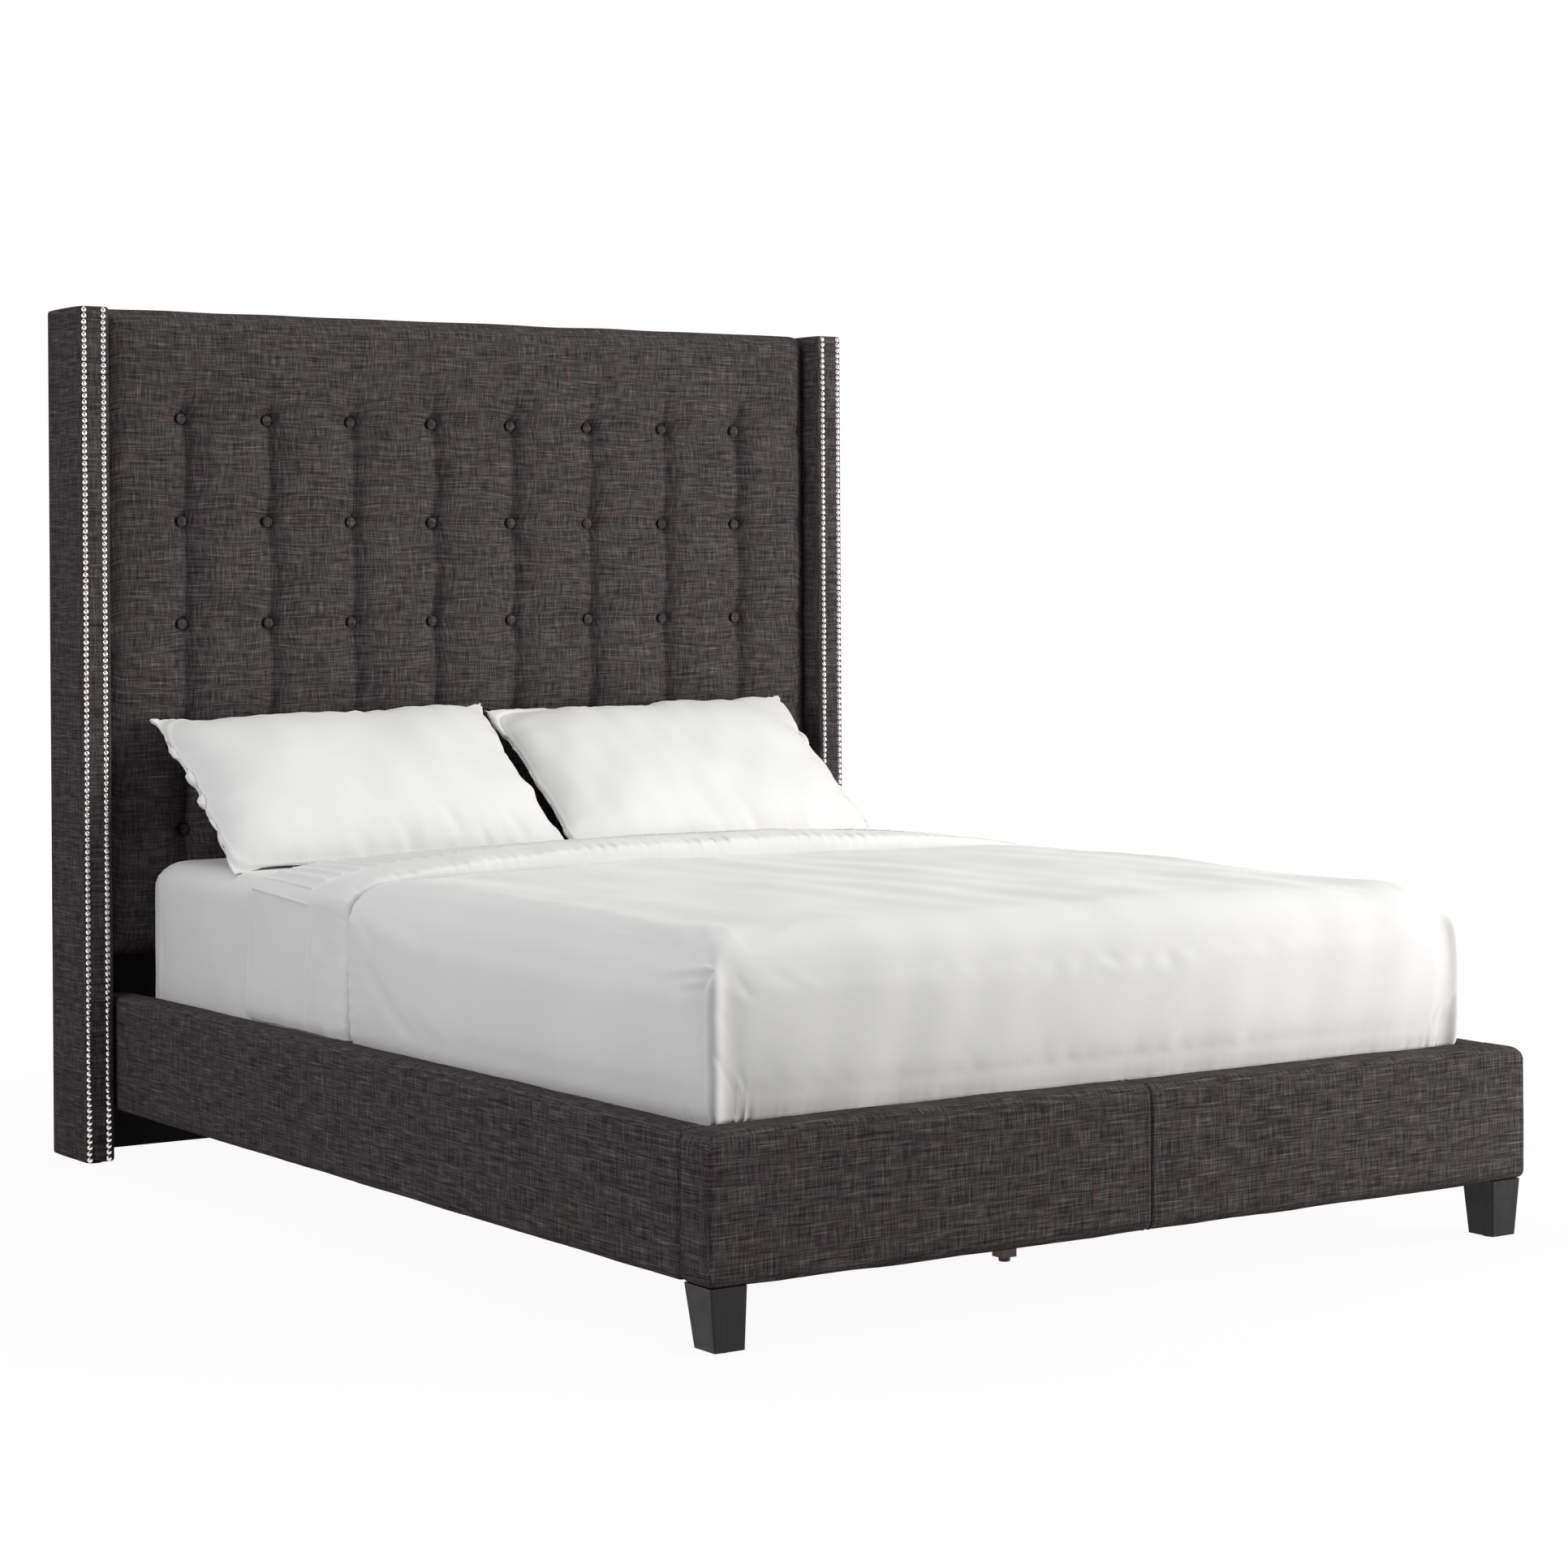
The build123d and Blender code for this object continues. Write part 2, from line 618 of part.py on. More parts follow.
# Steel angle brackets in the four corners, under the ledgers
with BuildPart() as corner_brackets:
    for side, y_face, inward in bracket_corners:
        x_middle = side * (x_rail_inner - bracket_arm / 2)
        with Locations((x_middle, y_face + inward * bracket_thickness / 2, bracket_bottom)):
            Box(bracket_arm, bracket_thickness, bracket_height, align=(Align.CENTER, Align.CENTER, Align.MIN))
        x_arm = side * (x_rail_inner - bracket_thickness / 2)
        with Locations((x_arm, y_face + inward * bracket_arm / 2, bracket_bottom)):
            Box(bracket_thickness, bracket_arm, bracket_height, align=(Align.CENTER, Align.CENTER, Align.MIN))
        for z in bracket_bolt_heights:
            with Locations(Location((side * bracket_bolt_x, y_face, z), (90, 0, 0))):
                Cylinder(
                    bracket_bolt_radius + bolt_clearance, 2 * bracket_thickness + cut_overrun,
                    mode=Mode.SUBTRACT,
                )
            y_hole = y_face + inward * bracket_hole_from_corner
            with Locations(Location((side * x_rail_inner, y_hole, z), (0, 90, 0))):
                Cylinder(
                    bracket_bolt_radius + bolt_clearance, 2 * bracket_thickness + cut_overrun,
                    mode=Mode.SUBTRACT,
                )
corner_brackets.part.label = "corner_brackets"
export_step(corner_brackets.part, "parts/corner_brackets.step")

# Their bolts, one through each hole
bracket_bolt_parts = []
for side, y_face, inward in bracket_corners:
    into_end = headed_bolt(
        bracket_bolt_radius, bracket_bolt_length, bracket_bolt_head_radius,
        bracket_bolt_head_height, (0, -inward, 0),
    )
    into_rail = headed_bolt(
        bracket_bolt_radius, bracket_bolt_length, bracket_bolt_head_radius,
        bracket_bolt_head_height, (side, 0, 0),
    )
    for z in bracket_bolt_heights:
        end_place = (side * bracket_bolt_x, y_face + inward * bracket_thickness, z)
        rail_place = (
            side * (x_rail_inner - bracket_thickness), y_face + inward * bracket_hole_from_corner, z,
        )
        bracket_bolt_parts.append(into_end.located(Location(end_place)))
        bracket_bolt_parts.append(into_rail.located(Location(rail_place)))
bracket_bolts = Compound(children=bracket_bolt_parts)
bracket_bolts.label = "bracket_bolts"
export_step(bracket_bolts, "parts/bracket_bolts.step")

# Corner legs, tapered towards the floor
leg_bottom_centre = x_rail_outer - leg_inset - leg_bottom_inset_x - leg_bottom_x / 2
leg_bottom_y_centre = y_foot + leg_bottom_inset_y + leg_bottom_y / 2
for side, side_name in sides:
    with BuildPart() as leg:
        with BuildSketch(Plane((side * leg_bottom_centre, leg_bottom_y_centre, leg_glide_height))):
            RectangleRounded(leg_bottom_x, leg_bottom_y, leg_corner_radius)
        with BuildSketch(Plane((side * leg_top_centre, leg_top_y_centre, leg_height))):
            RectangleRounded(leg_top_x, leg_top_y, leg_corner_radius)
        loft()
        with Locations((side * leg_top_centre, leg_top_y_centre, leg_height)):
            Cylinder(
                leg_bolt_radius + bolt_clearance, leg_bolt_reach + bolt_clearance,
                align=(Align.CENTER, Align.CENTER, Align.MAX), mode=Mode.SUBTRACT,
            )
    leg.part.label = f"leg_{side_name}"
    export_step(leg.part, f"parts/leg_{side_name}.step")

with BuildPart() as leg_glides:
    with Locations(*[(side * leg_bottom_centre, leg_bottom_y_centre, 0) for side, _ in sides]):
        Cylinder(leg_glide_radius, leg_glide_height, align=(Align.CENTER, Align.CENTER, Align.MIN))
    fillet(leg_glides.edges().group_by(Axis.Z)[0], leg_glide_height / 3)
leg_glides.part.label = "leg_glides"
export_step(leg_glides.part, "parts/leg_glides.step")

# Hanger bolts that join the legs to the footboard
with BuildPart() as leg_bolts:
    with Locations(*[(side * leg_top_centre, leg_top_y_centre, leg_height) for side, _ in sides]):
        Cylinder(leg_bolt_radius, 2 * leg_bolt_reach)
leg_bolts.part.label = "leg_bolts"
export_step(leg_bolts.part, "parts/leg_bolts.step")

# Ledgers that carry the slats, screwed to the rails
with BuildPart() as slat_ledgers:
    for side, _ in sides:
        with Locations((side * (x_rail_inner - ledger_width / 2), y_rail, ledger_z)):
            Box(ledger_width, rail_length, ledger_height)
        seat = side * (x_rail_inner - ledger_width)
        with Locations(*[Location((seat, y, ledger_z), (0, side * 90, 0)) for y in ledger_screw_ys]):
            Cylinder(
                screw_radius + bolt_clearance, 2 * ledger_width + cut_overrun, mode=Mode.SUBTRACT,
            )
            Cylinder(
                screw_head_radius + bolt_clearance, 2 * (ledger_width - ledger_screw_bore),
                mode=Mode.SUBTRACT,
            )
slat_ledgers.part.label = "slat_ledgers"
export_step(slat_ledgers.part, "parts/slat_ledgers.step")

ledger_screw_parts = []
for side, _ in sides:
    screw = headed_bolt(screw_radius, screw_length, screw_head_radius, screw_head_height, (side, 0, 0))
    x_seat = side * (x_rail_inner - ledger_screw_bore)
    ledger_screw_parts += [screw.located(Location((x_seat, y, ledger_z))) for y in ledger_screw_ys]
ledger_screws = Compound(children=ledger_screw_parts)
ledger_screws.label = "ledger_screws"
export_step(ledger_screws, "parts/ledger_screws.step")

# Slats and the two webbing straps that space them
slat_run = y_mattress_head - y_mattress_foot - 2 * slat_run_gap - slat_width
slat_ys = [y_mattress + (i / (slat_count - 1) - 1 / 2) * slat_run for i in range(slat_count)]
with BuildPart() as slats:
    with Locations(*[(0, y, slat_top) for y in slat_ys]):
        Box(
            2 * (x_rail_inner - slat_end_gap), slat_width, slat_thickness,
            align=(Align.CENTER, Align.CENTER, Align.MAX),
        )
slats.part.label = "slats"
export_step(slats.part, "parts/slats.step")

with BuildPart() as slat_straps:
    with Locations(*[(side * strap_offset, y_mattress, slat_bottom) for side, _ in sides]):
        Box(
            strap_width, slat_run + slat_width, strap_thickness,
            align=(Align.CENTER, Align.CENTER, Align.MAX),
        )
slat_straps.part.label = "slat_straps"
export_step(slat_straps.part, "parts/slat_straps.step")

# Centre beam in its two steel hangers
beam_length = y_lower_panel - y_footboard_back - 2 * hanger_thickness - 2 * fit_clearance
with BuildPart() as centre_beam:
    with Locations((0, (y_lower_panel + y_footboard_back) / 2, slat_bottom)):
        Box(beam_width, beam_length, beam_height, align=(Align.CENTER, Align.CENTER, Align.MAX))
    centre_leg_ys = [
        y_foot + centre_leg_first
        + i * (overall_length - 2 * centre_leg_first) / (centre_leg_count - 1)
        for i in range(centre_leg_count)
    ]
    centre_bolt_zs = (
        slat_bottom - beam_height + carriage_bolt_edge,
        slat_bottom - centre_leg_top_gap - carriage_bolt_edge,
    )
    carriage_places = [Location((0, y, z), (0, -90, 0)) for y in centre_leg_ys for z in centre_bolt_zs]
    with Locations(*carriage_places):
        Cylinder(
            carriage_bolt_radius + bolt_clearance, beam_width + cut_overrun, mode=Mode.SUBTRACT,
        )
centre_beam.part.label = "centre_beam"
export_step(centre_beam.part, "parts/centre_beam.step")

hanger_faces = ((y_footboard_back, 1), (y_lower_panel, -1))
with BuildPart() as beam_hangers:
    for y_face, inward in hanger_faces:
        flange_width = beam_width + 2 * hanger_thickness + 2 * hanger_flange
        with Locations((0, y_face + inward * hanger_thickness / 2, hanger_bottom)):
            Box(
                flange_width, hanger_thickness, hanger_top - hanger_bottom,
                align=(Align.CENTER, Align.CENTER, Align.MIN),
            )
        y_cup = y_face + inward * hanger_depth / 2
        with Locations((0, y_cup, hanger_bottom)):
            Box(
                beam_width + 2 * hanger_thickness, hanger_depth, hanger_top - hanger_bottom,
                align=(Align.CENTER, Align.CENTER, Align.MIN),
            )
        with Locations((0, y_cup + inward * hanger_thickness, hanger_bottom + hanger_thickness)):
            Box(
                beam_width, hanger_depth, hanger_top - hanger_bottom,
                align=(Align.CENTER, Align.CENTER, Align.MIN), mode=Mode.SUBTRACT,
            )
        with Locations(*[
            Location((side * hanger_screw_x, y_face, z), (90, 0, 0))
            for side, _ in sides for z in hanger_screw_zs
        ]):
            Cylinder(screw_radius + bolt_clearance, 2 * hanger_thickness + cut_overrun, mode=Mode.SUBTRACT)
beam_hangers.part.label = "beam_hangers"
export_step(beam_hangers.part, "parts/beam_hangers.step")

hanger_screw_parts = []
for y_face, inward in hanger_faces:
    screw = headed_bolt(screw_radius, screw_length, screw_head_radius, screw_head_height, (0, -inward, 0))
    y_seat = y_face + inward * hanger_thickness
    for side, _ in sides:
        for z in hanger_screw_zs:
            hanger_screw_parts.append(screw.located(Location((side * hanger_screw_x, y_seat, z))))
hanger_screws = Compound(children=hanger_screw_parts)
hanger_screws.label = "hanger_screws"
export_step(hanger_screws, "parts/hanger_screws.step")

# Centre legs, bolted to one side of the beam, each with a bore for its levelling glide
x_centre_leg = -(beam_width + centre_leg_x) / 2
centre_leg_top = slat_bottom - centre_leg_top_gap
with BuildPart() as centre_legs:
    with Locations(*[(x_centre_leg, y, glide_height) for y in centre_leg_ys]):
        Box(
            centre_leg_x, centre_leg_y, centre_leg_top - glide_height,
            align=(Align.CENTER, Align.CENTER, Align.MIN),
        )
        Cylinder(
            glide_stem_radius + glide_running_gap, glide_stem_length + fit_clearance,
            align=(Align.CENTER, Align.CENTER, Align.MIN), mode=Mode.SUBTRACT,
        )
    with Locations(*carriage_places):
        Cylinder(
            carriage_bolt_radius + bolt_clearance, 2 * (beam_width + centre_leg_x), mode=Mode.SUBTRACT,
        )
centre_legs.part.label = "centre_legs"
export_step(centre_legs.part, "parts/centre_legs.step")

# Levelling glides that screw in and out of the centre legs
for y, place_name in zip(centre_leg_ys, ("foot", "middle", "head")):
    with BuildPart() as centre_glide:
        with Locations((x_centre_leg, y, 0)):
            Cylinder(glide_radius, glide_height, align=(Align.CENTER, Align.CENTER, Align.MIN))
            Cylinder(
                glide_stem_radius, glide_height + glide_stem_length,
                align=(Align.CENTER, Align.CENTER, Align.MIN),
            )
        fillet(centre_glide.edges().group_by(Axis.Z)[0], glide_height / 4)
    centre_glide.part.label = f"centre_glide_{place_name}"
    export_step(centre_glide.part, f"parts/centre_glide_{place_name}.step")

# Carriage bolts through the centre legs and the beam, with their nuts
carriage_bolt = headed_bolt(
    carriage_bolt_radius, centre_leg_x + beam_width + 2 * carriage_nut_height,
    carriage_head_radius, carriage_head_height, (1, 0, 0),
)
carriage_seat = -beam_width / 2 - centre_leg_x
centre_leg_bolts = copies(
    carriage_bolt, [(carriage_seat, y, z) for y in centre_leg_ys for z in centre_bolt_zs]
)
centre_leg_bolts.label = "centre_leg_bolts"
export_step(centre_leg_bolts, "parts/centre_leg_bolts.step")

with BuildPart() as carriage_nut:
    with BuildSketch(Plane.YZ):
        RegularPolygon(radius=carriage_head_radius, side_count=6)
        Circle(carriage_bolt_radius + glide_running_gap, mode=Mode.SUBTRACT)
    extrude(amount=carriage_nut_height)
centre_leg_nuts = copies(
    carriage_nut.part, [(beam_width / 2, y, z) for y in centre_leg_ys for z in centre_bolt_zs]
)
centre_leg_nuts.label = "centre_leg_nuts"
export_step(centre_leg_nuts, "parts/centre_leg_nuts.step")


# A mattress-shaped block, grown by an offset on every side, with its base at the given height
def mattress_block(offset, base):
    with BuildPart() as block:
        with Locations((0, y_mattress, base)):
            Box(
                mattress_width + 2 * offset, mattress_length + 2 * offset, mattress_height + 2 * offset,
                align=(Align.CENTER, Align.CENTER, Align.MIN),
            )
        fillet(block.edges().filter_by(Axis.Z), mattress_corner_radius + offset)
        fillet(block.faces().sort_by(Axis.Z)[-1].edges(), mattress_top_round + offset)
        fillet(block.faces().sort_by(Axis.Z)[0].edges(), mattress_base_round + offset)
    return block.part


# A long block of the made bed's cross-section, from y_start to y_end, standing on the hem line
def linen_tunnel(half_width, top, round_radius, y_start, y_end):
    with BuildPart() as tunnel:
        with Locations((0, y_start, linen_hem)):
            Box(
                2 * half_width, y_end - y_start, top - linen_hem,
                align=(Align.CENTER, Align.MIN, Align.MIN),
            )
        fillet(tunnel.edges().filter_by(Axis.Y).group_by(Axis.Z)[-1], round_radius)
    return tunnel.part


# Mattress, and the fitted sheet that wraps its top, sides and the rim of its base
sheet_base = slat_top + soft_gap
mattress_base = sheet_base + sheet_thickness
mattress_top = mattress_base + mattress_height
mattress_shape = mattress_block(0, mattress_base)
mattress_shape.label = "mattress"
export_step(mattress_shape, "parts/mattress.step")

with BuildPart() as fitted_sheet:
    add(mattress_block(sheet_thickness, sheet_base))
    add(mattress_shape, mode=Mode.SUBTRACT)
    with Locations((0, y_mattress, sheet_base)):
        Box(
            mattress_width - 2 * sheet_hem, mattress_length - 2 * sheet_hem,
            2 * (mattress_base - sheet_base), mode=Mode.SUBTRACT,
        )
fitted_sheet.part.label = "fitted_sheet"
export_step(fitted_sheet.part, "parts/fitted_sheet.step")

# Flat sheet: it lies flat under the duvet, swells into a roll over the duvet's head end and
# thins out towards its own head hem. Each station has a distance along the turndown from the head
# hem, as a share, and the share of the full swell.
linen_hem = rail_top + linen_hem_gap
sheet_half = mattress_width / 2 + sheet_thickness
sheet_top = mattress_top + sheet_thickness
sheet_round = mattress_top_round + sheet_thickness
y_turndown_head = y_mattress_head - turndown_head_inset
turndown_length = band_length + roll_length
y_turndown_foot = y_turndown_head - turndown_length
turndown_shares = (
    (1, 0.5), (0.985, 0.78), (0.94, 0.95), (0.85, 1), (0.68, 0.93), (0.4, 0.68), (0.14, 0.42), (0, 0.14),
)
with BuildPart() as flat_sheet:
    for length_share, swell_share in turndown_shares:
        y = y_turndown_head - length_share * turndown_length
        half = sheet_half + swell_share * turndown_side_thickness
        top = sheet_top + swell_share * turndown_rise
        corner = sheet_round + swell_share * turndown_side_thickness
        with BuildSketch(Plane((0, y, 0), x_dir=(1, 0, 0), z_dir=(0, -1, 0))):
            with BuildLine():
                Polyline((-half, top - corner), (-half, linen_hem), (half, linen_hem), (half, top - corner))
                RadiusArc((half, top - corner), (half - corner, top), -corner)
                Line((half - corner, top), (corner - half, top))
                RadiusArc((corner - half, top), (-half, top - corner), -corner)
            make_face()
    loft(ruled=True)
    add(linen_tunnel(
        sheet_half + sheet_thickness, sheet_top + sheet_thickness, sheet_round + sheet_thickness,
        y_mattress_foot + mattress_corner_radius, y_turndown_foot,
    ))
    add(
        linen_tunnel(
            sheet_half, sheet_top, sheet_round,
            y_mattress_foot + mattress_corner_radius - cut_overrun, y_turndown_head + cut_overrun,
        ),
        mode=Mode.SUBTRACT,
    )
flat_sheet.part.label = "flat_sheet"
export_step(flat_sheet.part, "parts/flat_sheet.step")

# Duvet: level sections that round in towards a crowned top, hollowed for the mattress. Each station
# has the angle reached round the shoulder, and past it the share of the way to the crown's middle.
duvet_cavity_offset = 2 * sheet_thickness + soft_gap
duvet_half = mattress_width / 2 + duvet_cavity_offset + duvet_side_thickness
duvet_top = mattress_top + duvet_cavity_offset + duvet_top_thickness
y_duvet_foot = y_mattress_foot - duvet_cavity_offset - duvet_foot_thickness
y_duvet_head = y_turndown_foot - soft_gap
duvet_angles = (0, 22.5, 45, 67.5, 90)
crown_half_share = 0.6
crown_length_share = 0.3
crown_rise_share = 0.7
with BuildPart() as duvet:
    shoulder = duvet_side_shoulder
    levels = [(linen_hem, 0, 0)]
    for angle in duvet_angles:
        rise = sin(radians(angle))
        turn = 1 - cos(radians(angle))
        levels.append((
            duvet_top - duvet_side_shoulder * (1 - rise),
            duvet_side_shoulder * turn, duvet_foot_shoulder * turn,
        ))
    crown_inset = (1 - crown_half_share) * duvet_half
    crown_foot_inset = crown_length_share * (y_duvet_head - y_duvet_foot)
    levels.append((duvet_top + crown_rise_share * duvet_crown, crown_inset / 2, crown_foot_inset / 2))
    levels.append((duvet_top + duvet_crown, crown_inset, crown_foot_inset))
    for height, side_inset, foot_inset in levels:
        half = duvet_half - side_inset
        y_end = y_duvet_foot + foot_inset
        with BuildSketch(Plane.XY.offset(height)):
            with BuildLine():
                Polyline((-half, y_end + duvet_corner_radius), (-half, y_duvet_head),
                         (half, y_duvet_head), (half, y_end + duvet_corner_radius))
                RadiusArc((half, y_end + duvet_corner_radius), (half - duvet_corner_radius, y_end),
                          duvet_corner_radius)
                Line((half - duvet_corner_radius, y_end), (duvet_corner_radius - half, y_end))
                RadiusArc((duvet_corner_radius - half, y_end), (-half, y_end + duvet_corner_radius),
                          duvet_corner_radius)
            make_face()
    loft(ruled=True)
    add(mattress_block(duvet_cavity_offset, mattress_base - duvet_cavity_offset), mode=Mode.SUBTRACT)
duvet.part.label = "duvet"
export_step(duvet.part, "parts/duvet.step")

# Pillows: lens-shaped sections across the width, thin at the side seams and full in the middle.
# They lean from the sheet to the pad. Each station has a share of half the width, of the belly and
# of the draw-in.
pillow_section_shares = (
    (-1, 0, 0), (-0.97, 0.3, 0.2), (-0.82, 0.68, 0.6), (-0.5, 0.94, 0.95), (0, 1, 1),
    (0.5, 0.94, 0.95), (0.82, 0.68, 0.6), (0.97, 0.3, 0.2), (1, 0, 0),
)
lean_y = cos(radians(pillow_lean))
lean_z = sin(radians(pillow_lean))
y_pillow_top = y_pad_crown - pillow_back_gap
y_pillow_foot = y_pillow_top - pillow_height * lean_y
pillow_seat = sheet_top + soft_gap
for side, side_name in sides:
    with BuildPart() as pillow:
        for width_share, belly_share, draw_share in pillow_section_shares:
            x = side * pillow_spread + width_share * pillow_width / 2
            low = draw_share * pillow_draw_in
            high = pillow_height - draw_share * pillow_draw_in
            middle = pillow_height / 2
            upper = pillow_seam_belly + belly_share * (pillow_upper_belly - pillow_seam_belly)
            lower = pillow_seam_belly + belly_share * (pillow_lower_belly - pillow_seam_belly)
            section_plane = Plane(
                (x, y_pillow_foot, pillow_seat), x_dir=(0, lean_y, lean_z), z_dir=(1, 0, 0)
            )
            with BuildSketch(section_plane):
                with BuildLine():
                    ThreePointArc((low, 0), (middle, upper), (high, 0))
                    ThreePointArc((high, 0), (middle, -lower), (low, 0))
                make_face()
        loft()
    pillow.part.label = f"pillow_{side_name}"
    export_step(pillow.part, f"parts/pillow_{side_name}.step")

# Outside sizes, for anyone who sets the bed in a room
print("length", overall_length, "width", 2 * x_wing_outer, "height", pad_top)
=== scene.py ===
"""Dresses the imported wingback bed: tufted linen headboard, nailed wings, upholstered rails and a made bed."""
from math import cos, pi, radians, sin

import bmesh
import bpy
import numpy as np
from bpy.props import FloatProperty, FloatVectorProperty, IntProperty, PointerProperty
from mathutils import Matrix, Vector


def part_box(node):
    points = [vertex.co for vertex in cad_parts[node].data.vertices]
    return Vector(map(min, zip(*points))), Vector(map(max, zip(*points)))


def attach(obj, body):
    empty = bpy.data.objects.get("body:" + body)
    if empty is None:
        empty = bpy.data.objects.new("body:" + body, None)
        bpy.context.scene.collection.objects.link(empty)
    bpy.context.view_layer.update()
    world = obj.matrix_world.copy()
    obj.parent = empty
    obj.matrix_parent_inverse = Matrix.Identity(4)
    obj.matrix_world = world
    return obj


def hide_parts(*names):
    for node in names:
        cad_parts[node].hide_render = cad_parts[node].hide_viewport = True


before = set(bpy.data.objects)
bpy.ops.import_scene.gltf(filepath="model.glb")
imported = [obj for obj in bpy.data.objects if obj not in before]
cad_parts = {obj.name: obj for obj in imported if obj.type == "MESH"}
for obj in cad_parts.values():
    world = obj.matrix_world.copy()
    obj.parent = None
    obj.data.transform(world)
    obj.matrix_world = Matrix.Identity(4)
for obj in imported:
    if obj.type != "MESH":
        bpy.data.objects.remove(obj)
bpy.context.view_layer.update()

bl_info = {
    "name": "Wingback Bed",
    "version": (1, 0, 0),
    "blender": (4, 5, 0),
    "location": "View3D > Sidebar > Bed",
    "description": "Builds an upholstered wingback bed with its bed linen",
    "category": "Object",
}

WEAVE = "Weave"


# ---- The sizes and colours that a user may change ----

class BedFinishes(bpy.types.PropertyGroup):
    linen: FloatVectorProperty(
        name="Linen", description="Colour of the upholstery linen", subtype="COLOR",
        size=3, min=0, max=1, default=(0.0455, 0.0414, 0.0418))
    slub: FloatVectorProperty(
        name="Slub", description="Colour of the linen's lighter threads", subtype="COLOR",
        size=3, min=0, max=1, default=(0.20, 0.190, 0.188))
    cotton: FloatVectorProperty(
        name="Cotton", description="Colour of the bed linen", subtype="COLOR",
        size=3, min=0, max=1, default=(0.785, 0.785, 0.776))
    nail: FloatVectorProperty(
        name="Nails", description="Colour of the upholstery nails", subtype="COLOR",
        size=3, min=0, max=1, default=(0.86, 0.85, 0.83))
    leg: FloatVectorProperty(
        name="Legs", description="Colour of the corner legs", subtype="COLOR",
        size=3, min=0, max=1, default=(0.007, 0.007, 0.007))
    thread: FloatProperty(
        name="Thread", description="Pitch of the linen's threads", unit="LENGTH",
        min=0.0003, max=0.005, default=0.0011, precision=5)


class BedTufting(bpy.types.PropertyGroup):
    columns: IntProperty(name="Columns", description="Buttons in a row", min=2, max=16, default=8)
    rows: IntProperty(name="Rows", description="Rows of buttons", min=1, max=12, default=5)
    pitch_x: FloatProperty(
        name="Across", description="Distance between buttons of a row", unit="LENGTH",
        min=0.05, max=0.5, default=0.189)
    pitch_z: FloatProperty(
        name="Down", description="Distance between rows", unit="LENGTH",
        min=0.05, max=0.5, default=0.206)
    top_row: FloatProperty(
        name="Top row", description="Height of the top row", unit="LENGTH",
        min=0.5, max=2.5, default=1.469)
    button_depth: FloatProperty(
        name="Button depth", description="How far the buttons pull the pad in", unit="LENGTH",
        min=0, max=0.06, default=0.0345)
    crease_depth: FloatProperty(
        name="Crease depth", description="Depth of the upright creases between rows", unit="LENGTH",
        min=0, max=0.06, default=0.0285)
    dip_depth: FloatProperty(
        name="Dip depth", description="Depth of the level dips between buttons", unit="LENGTH",
        min=0, max=0.03, default=0.012)
    seat_radius: FloatProperty(
        name="Button seat", description="Radius of the hollow round a button", unit="LENGTH",
        min=0.005, max=0.05, default=0.0104)


class BedNails(bpy.types.PropertyGroup):
    radius: FloatProperty(
        name="Radius", description="Radius of a nail's head", unit="LENGTH",
        min=0.002, max=0.02, default=0.0056, precision=4)
    rise: FloatProperty(
        name="Rise", description="Height of a nail's dome", unit="LENGTH",
        min=0.001, max=0.01, default=0.0036, precision=4)
    pitch: FloatProperty(
        name="Pitch", description="Distance from nail to nail", unit="LENGTH",
        min=0.005, max=0.05, default=0.0121, precision=4)
    outer_inset: FloatProperty(
        name="Outer inset", description="From the wing's outer face to the row", unit="LENGTH",
        min=0.004, max=0.03, default=0.009)
    inner_inset: FloatProperty(
        name="Inner inset", description="From the wing's inner face to the row", unit="LENGTH",
        min=0.004, max=0.03, default=0.013)
    end_inset: FloatProperty(
        name="End inset", description="From the wing's ends to the last nails", unit="LENGTH",
        min=0.004, max=0.03, default=0.007)


class BedClothes(bpy.types.PropertyGroup):
    hem: FloatProperty(
        name="Hem", description="Height at which the linen goes in between mattress and rails",
        unit="LENGTH", min=0.2, max=0.6, default=0.327)
    tuck_pitch: FloatProperty(
        name="Tuck pitch", description="Distance between the pin tucks", unit="LENGTH",
        min=0.01, max=0.1, default=0.031)
    tuck_rise: FloatProperty(
        name="Tuck rise", description="Height of a pin tuck", unit="LENGTH",
        min=0.0005, max=0.006, default=0.0038, precision=4)
    pillow_lean: FloatProperty(
        name="Pillow lean", description="Slope of the pillows", subtype="ANGLE",
        min=0.1, max=1.5, default=radians(36.8))


class BedStage(bpy.types.PropertyGroup):
    eye: FloatVectorProperty(
        name="Camera", description="Place of the camera", subtype="TRANSLATION", size=3,
        default=(-3.59744, -5.4874, 1.13379))
    turn: FloatProperty(
        name="Turn", description="The camera's turn to the right", subtype="ANGLE", default=radians(33.84))
    tilt: FloatProperty(
        name="Tilt", description="The camera's tilt down", subtype="ANGLE", default=radians(0.43))
    roll: FloatProperty(
        name="Roll", description="The camera's roll", subtype="ANGLE", default=radians(-0.33))
    lens: FloatProperty(
        name="Lens", description="Focal length in millimetres", min=10, max=300, default=80.9)
    shift: FloatProperty(
        name="Shift", description="Lens shift up, as a share of the picture", min=-0.5, max=0.5,
        default=-0.1118)
    key: FloatProperty(
        name="Key light", description="Power of the large light", subtype="POWER", min=0, default=194)
    fill: FloatProperty(
        name="Fill light", description="Power of the second light", subtype="POWER", min=0, default=76)
    overhead: FloatProperty(
        name="Overhead light", description="Power of the soft light over the bed", subtype="POWER",
        min=0, default=62)
    front: FloatProperty(
        name="Front light", description="Power of the low light that rakes the headboard and the foot",
        subtype="POWER", min=0, default=152)
    sky: FloatProperty(
        name="Sky", description="Strength of the even light all round", min=0, max=2, default=0.24)


# ---- Tools that the pieces share ----

def deselect_all():
    bpy.ops.object.select_all(action="DESELECT")


